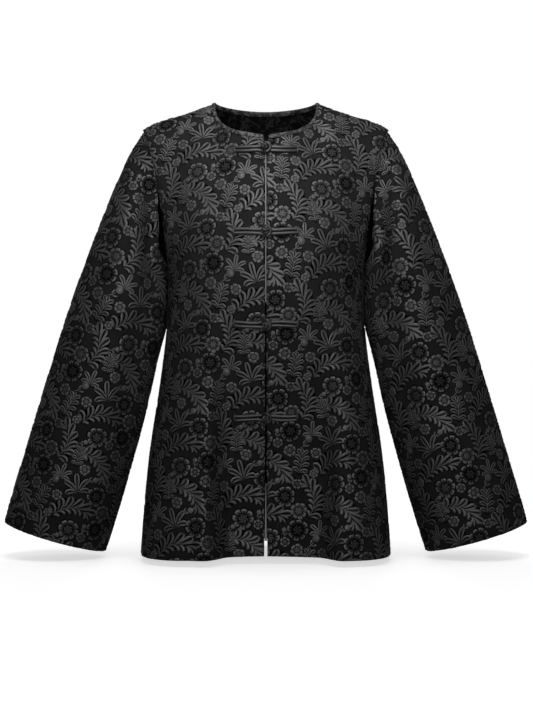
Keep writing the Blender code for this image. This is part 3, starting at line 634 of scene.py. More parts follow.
def flower(radius=18, petals=8, spokes=5, rows=PETAL):
    """A scalloped flower: notched petals with grooves between them round a low stippled heart."""
    angles = np.linspace(0, 2 * math.pi, petals * spokes, endpoint=False)
    place_on_petal = (angles * petals / (2 * math.pi)) % 1.0
    swell = np.abs(np.sin(math.pi * place_on_petal))
    notch = np.exp(-(((place_on_petal - 0.5) / 0.09) ** 2))
    edge = radius * (0.80 + 0.22 * swell**0.5 - 0.11 * notch) * (1 + 0.05 * np.sin(angles * 3 + 1.0))
    heart = 0.46 * radius
    groove = np.minimum(1.0, swell * 3.0)
    rib = 1 - 0.55 * np.exp(-(((place_on_petal - 0.5) / 0.14) ** 2))
    petal_rows = []
    for share, up in (*rows, (1.16, ROOTED)):
        grooved = up * (0.08 + 0.92 * groove) * (rib if share < 0.8 else 1.0)
        petal_rows.append(ring((0, 0), heart + (edge - heart) * share, angles, grooved if up > 0 else up))
    around = np.linspace(0, 2 * math.pi, SEEDS, endpoint=False)
    heart_rows = []
    for row, (share, up) in enumerate(HEART):
        speckle = 0.24 * (-1.0) ** (np.arange(SEEDS) + row) if 0 < row < 3 else 0.0
        heart_rows.append(ring((0, 0), heart * share, around, up + speckle))
    return [closed(petal_rows)[:, ::-1], closed(heart_rows)]


def blossom():
    """A small flower of six petals."""
    return flower(9.5, 6, 4, SMALL_PETAL)


def bud(long=30):
    """A round bud with a rolled lip on a stem with two small leaves."""
    line, headings = arc(0, 0, -20, long * 0.72, 34, np.linspace(0, 1, 9))
    grids = stem(0, 0, -20, long * 0.72, 34, 2.6, 6)
    around = np.linspace(0, 2 * math.pi, 13)
    ahead = np.array([math.cos(headings[-1]), math.sin(headings[-1])])
    rows = []
    for share, up, push in BUD:
        middle = line[-1] + ahead * long * (0.2 + 0.2 * push)
        rows.append(ring(middle, long * 0.24 * share, around, up))
    grids.append(np.array(rows))
    (x, y), head = line[4], math.degrees(headings[4])
    for side in (-1, 1):
        grids += lobe(x, y, head + side * 50, long * 0.40, side * -46, long * 0.20, SMALL_LOBE, 5)
    return grids


for motif in (flower, blossom, bud):
    print(f"{motif.__name__}: {sum(grid.shape[0] * grid.shape[1] for grid in motif())} points")

# %% [markdown]
# ## One repeat of the brocade
# A loom repeats one figure across the cloth. This one is drawn 130 mm wide and 174 mm high and woven at
# about four fifths of that. Each column sits half a repeat above its neighbour, a half drop, which hides
# the rows. The motifs are set one by one so that the leaves nearly touch and leave only small islands of
# plain ground.

# %% The repeat
DRAWN_WIDTH, DRAWN_HEIGHT = 130.0, 174.0
WOVEN = 0.81  # woven size over drawn size
REPEAT_WIDTH, REPEAT_HEIGHT = DRAWN_WIDTH * WOVEN, DRAWN_HEIGHT * WOVEN
MOTIFS = (
    # motif, x mm, y mm of its middle, turn in degrees, size, mirrored
    (acanthus, 26, 36, 66, 0.94, False),
    (flower, 81, 12, 10, 1.08, False),
    (acanthus, 107, 66, 44, 0.88, True),
    (fan, 21, 85, 110, 0.92, False),
    (flower, 63, 72, 40, 1.04, False),
    (plume, 96, 130, 70, 0.76, False),
    (acanthus, 46, 126, 14, 0.90, False),
    (plume, 8, 134, 100, 0.62, True),
    (flower, 31, 1, 20, 1.06, False),
    (fan, 119, 13, 84, 0.70, False),
    (blossom, 85, 92, 20, 1.0, False),
    (bud, 105, 162, 40, 0.95, False),
    (blossom, 57, 167, 0, 1.0, False),
    (flower, 85, 45, 30, 0.84, False),
    (blossom, 77, 152, 50, 1.25, False),
    (blossom, 122, 143, 10, 1.1, False),
    (bud, 44, 98, 30, 0.75, True),
    (bud, 57, 8, 80, 0.62, False),
    (blossom, 27, 113, 20, 1.15, False),
    (blossom, 115, 108, 50, 0.85, False),
    (bud, 8, 158, 20, 0.6, False),
)
LAYER = 0.02  # of the figure's height: each motif lies this much over the last, so no two faces meet


def set_in_place(grids, x, y, turn, size, mirrored):
    """A motif's grids, sized, mirrored, turned and moved until their middle is at x, y in the repeat."""
    cosine, sine = math.cos(math.radians(turn)) * size, math.sin(math.radians(turn)) * size
    spread = np.concatenate([grid[..., :2].reshape(-1, 2) for grid in grids])
    middle = np.append((spread.min(axis=0) + spread.max(axis=0)) / 2, 0)
    placed = []
    for grid in grids:
        grid = grid - middle
        grid = grid[:, ::-1] * [1, -1, 1] if mirrored else grid
        east, north = grid[..., 0], grid[..., 1]
        turned = [x + east * cosine - north * sine, y + east * sine + north * cosine, grid[..., 2]]
        placed.append(np.stack(turned, axis=-1))
    return placed


def repeat_object():
    """The repeat as a mesh in metres across, with its heights left as shares from 0 to 1."""
    mesh = bmesh.new()
    scale = MM * WOVEN
    for layer, (motif, *where) in enumerate(MOTIFS):
        for grid in set_in_place(motif(), *where):
            points = grid * [scale, scale, 1] + [0, 0, layer * LAYER]
            rows = [[mesh.verts.new(point) for point in row] for row in points]
            for below, above in zip(rows, rows[1:]):
                for i in range(len(below) - 1):
                    mesh.faces.new((below[i], above[i], above[i + 1], below[i + 1]))
    bmesh.ops.remove_doubles(mesh, verts=mesh.verts, dist=0.01 * MM)
    data = bpy.data.meshes.new("repeat")
    mesh.to_mesh(data)
    mesh.free()
    return place("repeat", data)


repeat = repeat_object()
print(f"one repeat: {len(MOTIFS)} motifs, {triangles(repeat)} triangles")

# %% [markdown]
# ## Materials of the brocade
# Both weaves are black polyester filament, and what tells them apart is the weave. The figure floats its
# threads on top, a satin that catches the light along its ridges. The ground ties every thread down, a fine
# plain weave that stays dull. The figure's colour follows its height: its low edges and grooves are painted
# near black as shade, and its ridges are painted lighter grey as a highlight. The real threads
# are 0.15 mm apart, too fine to see at this size, so the ground's are drawn 0.9 mm apart and the figure's
# as a grain of 1.6 mm.

# %% Brocade
THREAD = 0.9  # mm between the ground's threads
# The scale of a noise is 1000 over the size in mm of its patches.


def new_material(name, **constants):
    """A material with a Principled shader and these constants on its sockets."""
    made = bpy.data.materials.new(name)
    made.use_nodes = True
    shader = made.node_tree.nodes["Principled BSDF"]
    for socket, value in constants.items():
        shader.inputs[socket.replace("_", " ")].default_value = value
    return made, made.node_tree, shader


def dress(tree, shader, share, stops, height=None, depth=0.0, strength=0.0):
    """Colours a shader by a share, with stops of share and hex code, over a height this many mm deep."""
    ramp = add(tree, "ShaderNodeValToRGB", {"Fac": share})
    while len(ramp.color_ramp.elements) < len(stops):
        ramp.color_ramp.elements.new(0.5)
    for element, (at, code) in zip(ramp.color_ramp.elements, stops):
        element.position = at
        element.color = linear(code)
    tree.links.new(ramp.outputs["Color"], shader.inputs["Base Color"])
    if height is None:
        return None
    bump = add(tree, "ShaderNodeBump", {"Height": height, "Distance": depth * MM, "Strength": strength})
    tree.links.new(bump.outputs[0], shader.inputs["Normal"])
    return bump


def weave_height(tree, apart):
    """A plain weave's height from the cloth's own map: two sets of threads, this many millimetres apart."""
    cloth = add(tree, "ShaderNodeUVMap", uv_map="cloth")
    axes = add(tree, "ShaderNodeSeparateXYZ", {0: cloth})
    waves = []
    for axis in ("X", "Y"):
        half_turns = {0: axes.outputs[axis], 1: math.pi / (apart * MM)}
        turns = add(tree, "ShaderNodeMath", half_turns, operation="MULTIPLY")
        waves.append(add(tree, "ShaderNodeMath", {0: turns}, operation="SINE"))
    return add(tree, "ShaderNodeMath", {0: waves[0], 1: waves[1]}, operation="MULTIPLY")


def brocade_ground():
    """The dull plain weave between the flowers: near black, rough, with a faint grain of threads."""
    made, tree, shader = new_material("plain_weave_ground", Roughness=0.9, Specular_IOR_Level=0.15)
    where = add(tree, "ShaderNodeTexCoord").outputs["Object"]
    patches = add(tree, "ShaderNodeTexNoise", {"Vector": where, "Scale": 1000 / 38, "Detail": 2.0})
    threads = weave_height(tree, THREAD)
    dress(tree, shader, patches, ((0.3, "171717"), (0.7, "1E1E1F")), threads, 0.12, 0.5)
    return made


def brocade_figure():
    """The raised satin weave, coloured by its height: painted shade, near black, on its low edges and
    grooves, and a painted grey highlight along its ridges.
    """
    made, tree, shader = new_material("satin_weave_figure")
    where = add(tree, "ShaderNodeTexCoord").outputs["Object"]
    raised = add(tree, "ShaderNodeAttribute", attribute_name="raised").outputs["Fac"]
    patches = add(tree, "ShaderNodeTexNoise", {"Vector": where, "Scale": 1000 / 30, "Detail": 2.0})
    threads = add(tree, "ShaderNodeTexNoise", {"Vector": where, "Scale": 1000 / 1.6, "Detail": 1.0})
    share = raised
    for noise, weight in ((patches, 0.25), (threads, 0.35)):
        either_way = add(tree, "ShaderNodeMath", {0: noise, 1: 0.5}, operation="SUBTRACT")
        share = add(tree, "ShaderNodeMath", {0: either_way, 1: weight, 2: share}, operation="MULTIPLY_ADD")
    # Colour by height: the low edges and grooves get painted shade, near black, and the ridges a painted
    # highlight.
    dress(tree, shader, share, ((0.13, "010101"), (0.5, "1A1A1A"), (0.95, "474748")), threads, 0.15, 0.6)
    for socket, tied_down, afloat in (("Roughness", 0.95, 0.42), ("Specular IOR Level", 0.0, 0.62)):
        gloss = {"Value": raised, "From Min": 0.12, "From Max": 0.85, "To Min": tied_down, "To Max": afloat}
        tree.links.new(add(tree, "ShaderNodeMapRange", gloss).outputs[0], shader.inputs[socket])
    return made


def brocade_reverse():
    """The wrong side, which shows inside: the same cloth, its figure's threads carried flat behind it, and
    painted darker than the right side as shade inside the jacket.
    """
    made, tree, shader = new_material("brocade_reverse", Roughness=0.8, Specular_IOR_Level=0.08)
    where = add(tree, "ShaderNodeTexCoord").outputs["Object"]
    curls = {"Vector": where, "Scale": 1000 / 16, "Detail": 2.0, "Distortion": 2.2}
    leaves = add(tree, "ShaderNodeTexNoise", curls)
    # The blotches are the floats behind the figure; the darkness overall is painted shade.
    dress(tree, shader, leaves, ((0.42, "020202"), (0.50, "090909"), (0.60, "202020")), leaves, 1.2, 0.8)
    return made


def turned_edge():
    """Brocade folded over at an opening: glossier than the ground, and its colour painted lighter, in
    patches, as a highlight along the fold.
    """
    made, tree, shader = new_material("brocade_turned_edge", Roughness=0.42, Specular_IOR_Level=0.5)
    where = add(tree, "ShaderNodeTexCoord").outputs["Object"]
    painted_sheen_patches = add(tree, "ShaderNodeTexNoise", {"Vector": where, "Scale": 1000 / 9, "Detail": 2.0})
    threads = add(tree, "ShaderNodeTexNoise", {"Vector": where, "Scale": 1000 / 1.2, "Detail": 1.0})
    # Lighter than the ground: a painted highlight along the turned edge, in patches.
    dress(tree, shader, painted_sheen_patches, ((0.35, "242424"), (0.65, "454547")), threads, 0.1, 0.5)
    return made


ground, figure, reverse, edge = brocade_ground(), brocade_figure(), brocade_reverse(), turned_edge()
print("materials:", ground.name, figure.name, reverse.name, edge.name)

# %% [markdown]
# ## Weaving the figure into each panel
# Geometry Nodes do the loom's work. They lay out the repeat on the panel's flat pattern, cut it at the
# panel's edge, and then send every point to the place that it has on the worn cloth, lifted by
# its own height. The flat pattern is a second mesh whose points lie at the map's coordinates, and each
# remembers where it is on the worn cloth and which way is outwards there.

# %% The two ends of a node tree


def new_tree(name, inputs):
    """A Geometry Nodes tree with these named inputs: each a number to start from, or a socket's kind."""
    tree = bpy.data.node_groups.new(name, "GeometryNodeTree")
    for way in ("INPUT", "OUTPUT"):
        tree.interface.new_socket("Geometry", in_out=way, socket_type="NodeSocketGeometry")
    for label, start in inputs.items():
        kind = {float: "Float", int: "Int"}.get(type(start), start)
        socket = tree.interface.new_socket(label, in_out="INPUT", socket_type="NodeSocket" + kind)
        if kind != start:
            socket.default_value = start
    return tree, add(tree, "NodeGroupInput").outputs


def end_tree(tree, geometry, finish):
    """Ends a tree with real faces in place of instances, shaded smooth, in their finish."""
    real = add(tree, "GeometryNodeRealizeInstances", {"Geometry": geometry})
    smooth = add(tree, "GeometryNodeSetShadeSmooth", {"Geometry": real, "Shade Smooth": True})
    dressed = add(tree, "GeometryNodeSetMaterial", {"Geometry": smooth, "Material": finish})
    add(tree, "NodeGroupOutput", {"Geometry": dressed})


def with_nodes(thing, tree, **values):
    """The object as this node tree makes it, a plain mesh. Inputs are named, with _ for a space."""
    modifier = thing.modifiers.new(tree.name, "NODES")
    modifier.node_group = tree
    sockets = {item.name: item.identifier for item in tree.interface.items_tree if item.in_out == "INPUT"}
    for name, value in values.items():
        modifier[sockets[name.replace("_", " ")]] = value
    return applied(thing)


print("helpers for trees:", new_tree.__name__, end_tree.__name__, with_nodes.__name__)

# %% The node tree that weaves
RELIEF = 0.75  # mm that the figure's ridges stand above its ground
TURNED_EDGE = 0.8  # mm, the radius of a panel's turned edge, where the figure dips with the cloth
STORED = {"data_type": "FLOAT", "domain": "POINT"}
WEAVING = {
    "Repeat": "Object",
    "Width": 0.105,
    "Height": 0.140,
    "Relief": 0.0007,
    "Turning": 0.0008,
    "Shift X": 0.0,
    "Shift Y": 0.0,
    "Columns": 7,
    "Rows": 7,
    "Finish": "Material",
}


def laid_out(tree, given):
    """The repeat at every point of a grid over the pattern, each second column half a repeat higher."""
    sides = {}
    for axis, size, count in (("X", "Width", "Columns"), ("Y", "Height", "Rows")):
        gaps = add(tree, "ShaderNodeMath", {0: given[count], 1: 1.0}, operation="SUBTRACT")
        sides["Size " + axis] = add(tree, "ShaderNodeMath", {0: given[size], 1: gaps}, operation="MULTIPLY")
        sides["Vertices " + axis] = given[count]
    grid = add(tree, "GeometryNodeMeshGrid", sides)
    across = add(tree, "ShaderNodeSeparateXYZ", {0: add(tree, "GeometryNodeInputPosition")}).outputs["X"]
    column = add(tree, "ShaderNodeMath", {0: across, 1: given["Width"]}, operation="DIVIDE")
    column = add(tree, "ShaderNodeMath", {0: column}, operation="ROUND")
    odd = add(tree, "ShaderNodeMath", {0: column, 1: 2.0}, operation="FLOORED_MODULO")
    half = add(tree, "ShaderNodeMath", {0: given["Height"], 1: 0.5}, operation="MULTIPLY")
    drop = add(tree, "ShaderNodeMath", {0: odd, 1: half}, operation="MULTIPLY")
    up = add(tree, "ShaderNodeMath", {0: drop, 1: given["Shift Y"]}, operation="ADD")
    shift = add(tree, "ShaderNodeCombineXYZ", {"X": given["Shift X"], "Y": up})
    points = add(tree, "GeometryNodeSetPosition", {"Geometry": grid, "Offset": shift})
    motif = add(tree, "GeometryNodeObjectInfo", {"Object": given["Repeat"]}, transform_space="ORIGINAL")
    copies = {"Points": points, "Instance": motif.outputs["Geometry"]}
    laid = add(tree, "GeometryNodeInstanceOnPoints", copies)
    return add(tree, "GeometryNodeRealizeInstances", {"Geometry": laid})


def cut_to_pattern(tree, given, laid, flat_place):
    """The laid figure without the faces that lie wholly outside the panel's flat pattern."""
    sample = {"Geometry": given["Geometry"], "Sample Position": flat_place}
    near = add(tree, "GeometryNodeProximity", sample, target_element="FACES")
    inside = add(tree, "ShaderNodeMath", {0: near.outputs["Distance"], 1: 0.00001}, operation="LESS_THAN")
    mark = {"Geometry": laid, "Name": "inside", "Value": inside}
    marked = add(tree, "GeometryNodeStoreNamedAttribute", mark, **STORED)
    share_inside = add(tree, "GeometryNodeInputNamedAttribute", {"Name": "inside"}, data_type="FLOAT")
    outside = add(tree, "ShaderNodeMath", {0: share_inside, 1: 0.01}, operation="LESS_THAN")
    waste = {"Geometry": marked, "Selection": outside}
    cut = add(tree, "GeometryNodeDeleteGeometry", waste, domain="FACE", mode="ALL")
    return add(tree, "GeometryNodeRemoveAttribute", {"Geometry": cut, "Name": "inside"})


def height_over_cloth(tree, given, flat_place):
    """How far a point stands off the worn cloth: its relief, less a dip along the panel's turned edge."""
    raised = add(tree, "GeometryNodeInputNamedAttribute", {"Name": "raised"}, data_type="FLOAT")
    relief = add(tree, "ShaderNodeMath", {0: raised, 1: given["Relief"]}, operation="MULTIPLY")
    neighbours = add(tree, "GeometryNodeInputMeshEdgeNeighbors")
    on_edge = add(tree, "ShaderNodeMath", {0: neighbours, 1: 1.0}, operation="COMPARE")
    picked = {"Geometry": given["Geometry"], "Selection": on_edge}
    rim = add(tree, "GeometryNodeSeparateGeometry", picked, domain="EDGE")
    sample = {"Geometry": rim, "Sample Position": flat_place}
    to_rim = add(tree, "GeometryNodeProximity", sample, target_element="EDGES").outputs["Distance"]
    fade = {"Value": to_rim, "From Max": given["Turning"], "To Min": given["Turning"], "To Max": 0.0}
    dip = add(tree, "ShaderNodeMapRange", fade, interpolation_type="SMOOTHSTEP")
    return add(tree, "ShaderNodeMath", {0: relief, 1: dip}, operation="SUBTRACT")


def weaving_tree():
    """Lays a repeat out on flat cloth, half drop, and lifts it on to the worn cloth."""
    tree, given = new_tree("woven figure", WEAVING)
    laid = laid_out(tree, given)
    where = add(tree, "ShaderNodeSeparateXYZ", {0: add(tree, "GeometryNodeInputPosition")})
    flat_place = add(tree, "ShaderNodeCombineXYZ", {"X": where.outputs["X"], "Y": where.outputs["Y"]})
    height = {"Geometry": laid, "Name": "raised", "Value": where.outputs["Z"]}
    laid = add(tree, "GeometryNodeStoreNamedAttribute", height, **STORED)
    cut = cut_to_pattern(tree, given, laid, flat_place)
    worn = {}
    for name in ("worn", "worn_normal"):
        value = add(tree, "GeometryNodeInputNamedAttribute", {"Name": name}, data_type="FLOAT_VECTOR")
        sample = {"Mesh": given["Geometry"], "Value": value, "Sample Position": flat_place}
        worn[name] = add(tree, "GeometryNodeSampleNearestSurface", sample, data_type="FLOAT_VECTOR")
    lift = {0: worn["worn_normal"], "Scale": height_over_cloth(tree, given, flat_place)}
    lifted = add(tree, "ShaderNodeVectorMath", lift, operation="SCALE")
    worn_place = add(tree, "ShaderNodeVectorMath", {0: worn["worn"], 1: lifted}, operation="ADD")
    end_tree(
        tree,
        add(tree, "GeometryNodeSetPosition", {"Geometry": cut, "Position": worn_place}),
        given["Finish"],
    )
    return tree


weaving = weaving_tree()
print("tree:", weaving.name)

# %% Flat pattern to worn cloth


def flat_copy(panel):
    """The panel's flat pattern as a mesh: its points lie at the map's places and remember the worn ones."""
    data = panel.data
    corners = np.empty(len(data.loops), np.int32)
    data.loops.foreach_get("vertex_index", corners)
    uv = np.empty(len(data.loops) * 2, np.float32)
    data.uv_layers["cloth"].uv.foreach_get("vector", uv)
    uv = uv.reshape(-1, 2)
    keys = np.column_stack([corners, np.round(uv * 1e5).astype(np.int64)])  # places to 0.01 mm
    _, first, index = np.unique(keys, axis=0, return_index=True, return_inverse=True)
    index = index.reshape(-1)
    points, normals = numbers(data), numbers(data, "normal")
    made = bpy.data.meshes.new(panel.name + ".flat")
    faces = [[int(index[i]) for i in face.loop_indices] for face in data.polygons]
    flat_points = np.column_stack([uv[first], np.zeros(len(first))])
    made.from_pydata(flat_points.tolist(), [], faces)
    for name, values in (("worn", points), ("worn_normal", normals)):
        attribute = made.attributes.new(name, "FLOAT_VECTOR", "POINT")
        attribute.data.foreach_set("vector", values[corners[first]].astype(np.float32).ravel())
    return place(panel.name + ".flat", made)


SHIFTS = {
    # where the repeat starts on each panel's flat pattern, in mm
    "back": (0, 0),
    "front_left": (-20, 35),
    "front_right": (10, 60),
    "sleeve_left": (-45, 20),
    "sleeve_right": (15, 95),
}
figures = {}
for node in PANELS:
    columns = math.ceil(cuts[node][0] / (REPEAT_WIDTH * MM)) * 2 + 5
    rows = math.ceil(cuts[node][1] / (REPEAT_HEIGHT * MM)) * 2 + 5
    woven = with_nodes(
        flat_copy(skins[node]),
        weaving,
        Repeat=repeat,
        Width=REPEAT_WIDTH * MM,
        Height=REPEAT_HEIGHT * MM,
        Relief=RELIEF * MM,
        Turning=TURNED_EDGE * MM,
        Shift_X=SHIFTS[node][0] * MM,
        Shift_Y=SHIFTS[node][1] * MM,
        Columns=columns,
        Rows=rows,
        Finish=figure,
    )
    woven.name = woven.data.name = node + "_figure"
    figures[node] = woven
    print(f"{woven.name}: {triangles(woven)} triangles")
bpy.data.objects.remove(repeat)

# %% [markdown]
# ## The cloth itself
# A panel's ground is a thin shell. Solidify gives the outer face nearly 2 mm of brocade, backing and
# turnings, inwards, so the outside keeps its size, and a small bevel rounds the turned edges. The inside
# shows at the neck, the cuffs and the hem, so it gets the reverse of the brocade.

# %% Shells
CLOTH = 1.9  # mm


def shell(node):
    """A panel's outer face made into cloth with a right side, a wrong side and rounded edges painted lighter
    as a highlight.
    """
    thing = skins[node]
    thing.name = node + "_cloth"
    thing.data.materials.clear()
    for finish in (ground, reverse, edge):
        thing.data.materials.append(finish)
    wall = thing.modifiers.new("cloth", "SOLIDIFY")
    wall.thickness = CLOTH * MM
    wall.offset = -1.0
    wall.use_even_offset = True
    wall.material_offset = 1
    wall.material_offset_rim = 2
    turned = thing.modifiers.new("turned edge", "BEVEL")
    turned.width = TURNED_EDGE * MM
    turned.segments = 2
    turned.limit_method = "ANGLE"
    turned.angle_limit = math.radians(60)
    made = applied(thing)
    made.data.shade_smooth()
    return made


outer_meshes = {node: skins[node].data.copy() for node in PANELS}
cloths = {node: shell(node) for node in PANELS}
for node, cloth in cloths.items():
    print(f"{cloth.name}: {triangles(cloth)} triangles")

# %% [markdown]
# ## The binding round the neck
# A bias strip is cut across the grain, because only then does it turn a tight curve without puckers. It is
# folded round the raw neck edge and sewn down on both sides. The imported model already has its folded
# shape, so that shape is merged and smoothed. Slivers of the figure cross it, and soft slanting pulls show
# how it was stretched.

# %% Bias strip
PULL = 8.168  # mm between the slanting pulls
WAVES = 20 / (2 * math.pi)  # a wave texture of scale 1 makes this many waves in a metre


def bias_brocade():
    """The brocade cut on the bias and folded: a dull ground with slivers of the satin figure across it."""
    made, tree, shader = new_material("bias_brocade", Roughness=0.55, Specular_IOR_Level=0.45)
    where = add(tree, "ShaderNodeTexCoord").outputs["Object"]
    torn = {"Vector": where, "Scale": 1000 / 9, "Detail": 3.0, "Distortion": 1.6}
    slivers = add(tree, "ShaderNodeTexNoise", torn)
    stops = ((0.42, "040404"), (0.50, "1E1E1E"), (0.60, "505051"))
    sliver_bump = dress(tree, shader, slivers, stops, slivers, 0.5, 0.4)
    slanted = add(tree, "ShaderNodeMapping", {"Vector": where, "Rotation": (0.6, 0.5, math.radians(45))})
    wave = {"Vector": slanted, "Scale": 1000 / PULL / WAVES, "Distortion": 0.4}
    pulls = add(tree, "ShaderNodeTexWave", wave)
    pull_bump = add(tree, "ShaderNodeBump", {"Height": pulls, "Distance": 0.15 * MM, "Strength": 0.5})
    tree.links.new(pull_bump.outputs[0], sliver_bump.inputs["Normal"])
    return made


binding = smoothed(in_quads(merged("neck_binding"), "neck_binding_strip"))
binding.data.materials.clear()
binding.data.materials.append(bias_brocade())
binding.data.shade_smooth()

# %% [markdown]
# ## Frog buttons
# A frog is two pairs of satin cords sewn flat on the fronts. One pair opens into a loop, the other ends in
# a ball, which is the same cord tied as a button knot and pulled tight. A bar of satin hides the cut ends.
# A cord follows a path, so one Geometry Nodes tree makes them all: it rounds a curve to the width that
# each point asks for, and remembers how far along and around the cord each point lies, for the material.

# %% Satin and the tree for cords
CORD = 4.8  # mm across


def satin_cord():
    """Satin cut on the bias and drawn into a cord: black, with a long highlight and slanting pulls."""
    made, tree, shader = new_material("satin_cord", Roughness=0.36, Specular_IOR_Level=0.6)
    along = add(tree, "ShaderNodeAttribute", attribute_name="along").outputs["Fac"]
    around = add(tree, "ShaderNodeAttribute", attribute_name="around").outputs["Fac"]
    on_cord = add(tree, "ShaderNodeCombineXYZ", {"X": along, "Y": around})
    turned = {"Vector": on_cord, "Rotation": (0, 0, math.radians(35)), "Scale": (1, 3, 1)}
    slant = add(tree, "ShaderNodeMapping", turned)
    pulls = add(tree, "ShaderNodeTexNoise", {"Vector": slant, "Scale": 1000 / 5, "Detail": 3.0})
    dress(tree, shader, pulls, ((0.35, "161617"), (0.65, "262627")), pulls, 0.25, 0.5)
    return made


def cord_tree():
    """Rounds the curves that it is given into cords. A point's radius scales the cord there."""
    sizes = {"Width": 0.0048, "Step": 0.0007, "Sides": 14, "Finish": "Material"}
    tree, given = new_tree("satin cords", sizes)
    steps = {"Curve": given["Geometry"], "Length": given["Step"]}
    line = add(tree, "GeometryNodeResampleCurve", steps, mode="LENGTH")
    half = add(tree, "ShaderNodeMath", {0: given["Width"], 1: 0.5}, operation="MULTIPLY")
    section = add(tree, "GeometryNodeCurvePrimitiveCircle", {"Radius": half, "Resolution": given["Sides"]})
    measured = []
    for curve, name in ((line, "along"), (section, "around")):
        far = add(tree, "GeometryNodeSplineParameter").outputs["Length"]
        remembered = {"Geometry": curve, "Name": name, "Value": far}
        measured.append(add(tree, "GeometryNodeStoreNamedAttribute", remembered, **STORED))
    sweep = {"Curve": measured[0], "Profile Curve": measured[1], "Fill Caps": True}
    sweep["Scale"] = add(tree, "GeometryNodeInputRadius")
    end_tree(tree, add(tree, "GeometryNodeCurveToMesh", sweep), given["Finish"])
    return tree


satin, cords = satin_cord(), cord_tree()
print("tree:", cords.name, "material:", satin.name)

# %% Where a frog lies on the cloth
FROG_HALF = 44.5  # mm from the middle to an outer end
PAIR = 5.2  # between the middles of the two cords
LOOP = 6.6  # radius of the loop's middle line
BALL_LIFT = 11.2  # from the cloth to the middle of the ball
EDGE_KEPT = 6.0  # a frog takes its height off the cloth no nearer to the centre than this
ASIDE = 4.0  # mm, a step aside on the cloth: to a second normal, or clear of the front's turned edge
FRONTS = {}
for side, node in ((-1, "front_right"), (1, "front_left")):
    data = cloths[node].data
    faces = [tuple(face.vertices) for face in data.polygons]
    FRONTS[side] = BVHTree.FromPolygons([vert.co for vert in data.vertices], faces)


def seen_from_front(side, x, z):
    """Where a ray from the front at x and z, in metres, meets that side's cloth, and the normal there."""
    point, normal, _, _ = FRONTS[side].ray_cast(Vector((x, -1, z)), Vector((0, 1, 0)))
    return point, normal


def on_front(x, z):
    """The front's surface at x and z, carried on level near the centre, and its outward normal."""
    side = 1 if x >= 0 else -1
    held = side * max(abs(x), EDGE_KEPT * MM)
    point, normal = seen_from_front(side, held, z)
    return point + Vector((x - held, 0, 0)), normal


def frog_middle(number):
    """The height of a frog's middle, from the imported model's own frog."""
    low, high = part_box(f"frog_{number}_knot")
    low_loop, high_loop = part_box(f"frog_{number}_loop")
    return (max(high.z, high_loop.z) + min(low.z, low_loop.z)) / 2


def over_cloth(middle, along, up, lift):
    """A point over the cloth: mm along and up from a frog's middle, lifted mm off the cloth."""
    x, z = along * MM, middle + up * MM
    point, normal = on_front(x, z)
    farther_out = x + ASIDE * MM * (1 if along >= 0 else -1)
    smooth_normal = (normal + on_front(farther_out, z)[1]).normalized()
    return point + smooth_normal * (lift * MM)


middles = {number: frog_middle(number) for number in (1, 2, 3, 4)}
print("frogs at z", [round(z * 1000, 1) for z in middles.values()])

# %% Cords, loops, bars and knots
KNOT_RADIUS = 3.9  # mm, of the strand's middle line
STRAND = 2.9  # mm across
BAR = 3.4  # mm across
CORD_END, BAR_MIDDLE = 1.5, 0.9  # mm in from a frog's outer end, so that the bar covers the cords' ends
RING_START, KNOT_START = 10.5, 6.5  # mm from the middle, where the straight cords end
CLEAR = 0.3  # mm between a cord and the cloth, which the relief fills
RING_FROM = 146  # degrees round the loop where the cords leave it
LEADS, BIGHTS = 3, 4  # of the Turk's head that makes the ball: three rounds, with four turns at each end
KNOT_RIPPLE = 0.85  # mm that the strand goes over and under itself
KNOT_TILT = 56  # degrees that its turns lie away from the ball's equator
LOOP_CLIMB = 5.1  # mm that the loop climbs to go round the ball
SWAY = (0.5, 0.7, 0.9, 0.8)  # mm, how unevenly each frog's cords were sewn
BAR_HALF = ((5.3, 0.5), (5.1, 1.8), (4.5, 3.3), (2.6, 4.4))  # mm up from the middle, and off the cloth
BAR_SHAPE = (*((-up, lift) for up, lift in BAR_HALF), (0, 4.6), *reversed(BAR_HALF))


def sway(number, along):
    """How far a frog's cords lie above their straight line; each frog has its own wave."""
    return SWAY[number - 1] * math.sin(along / 11.0 + number * 2.1)


def pair_line(number, start, end, row, steps=14):
    """One cord of a pair, from start to end in mm along the frog. Row 1 is the upper one, -1 the lower."""
    points = []
    for along in np.linspace(start, end, steps):
        apart = PAIR / 2 * (1 + 0.04 * math.sin(along / 5.0 + number))
        up = row * apart + sway(number, along)
        points.append(over_cloth(middles[number], along, up, CLEAR + CORD / 2))
    return points


def loop_points(number):
    """The whole loop cord: out along the upper row, round the ball, and back along the lower row."""
    outer, inner = -FROG_HALF + CORD_END, -RING_START
    ring_points = []
    for degrees in np.linspace(RING_FROM, -RING_FROM, 25):
        along, up = LOOP * math.cos(math.radians(degrees)), LOOP * math.sin(math.radians(degrees))
        climb = np.clip((along + LOOP) / (1.5 * LOOP), 0, 1)
        lift = CLEAR + CORD / 2 + LOOP_CLIMB * climb * climb * (3 - 2 * climb)
        ring_points.append(over_cloth(middles[number], along, up + sway(number, along) * 0.5, lift))
    return pair_line(number, outer, inner, 1) + ring_points + pair_line(number, inner, outer, -1)


def rising_points(number, row):
    """A cord of the knot's pair: along the cloth, then up under the ball."""
    points = pair_line(number, FROG_HALF - CORD_END, KNOT_START, row)
    for along, share, lift in ((4.2, 0.8, 3.4), (2.4, 0.6, 5.2), (1.2, 0.4, 8.0), (0.6, 0.2, 10.5)):
        up = row * PAIR / 2 * share + sway(number, along) * 0.5
        points.append(over_cloth(middles[number], along, up, lift))
    return points


def bar_points(number, side):
    """The bar of satin across a pair's cut ends, tucked down to the cloth at both tips."""
    along = side * (FROG_HALF - BAR_MIDDLE)
    return [over_cloth(middles[number], along, up + sway(number, along), lift) for up, lift in BAR_SHAPE]


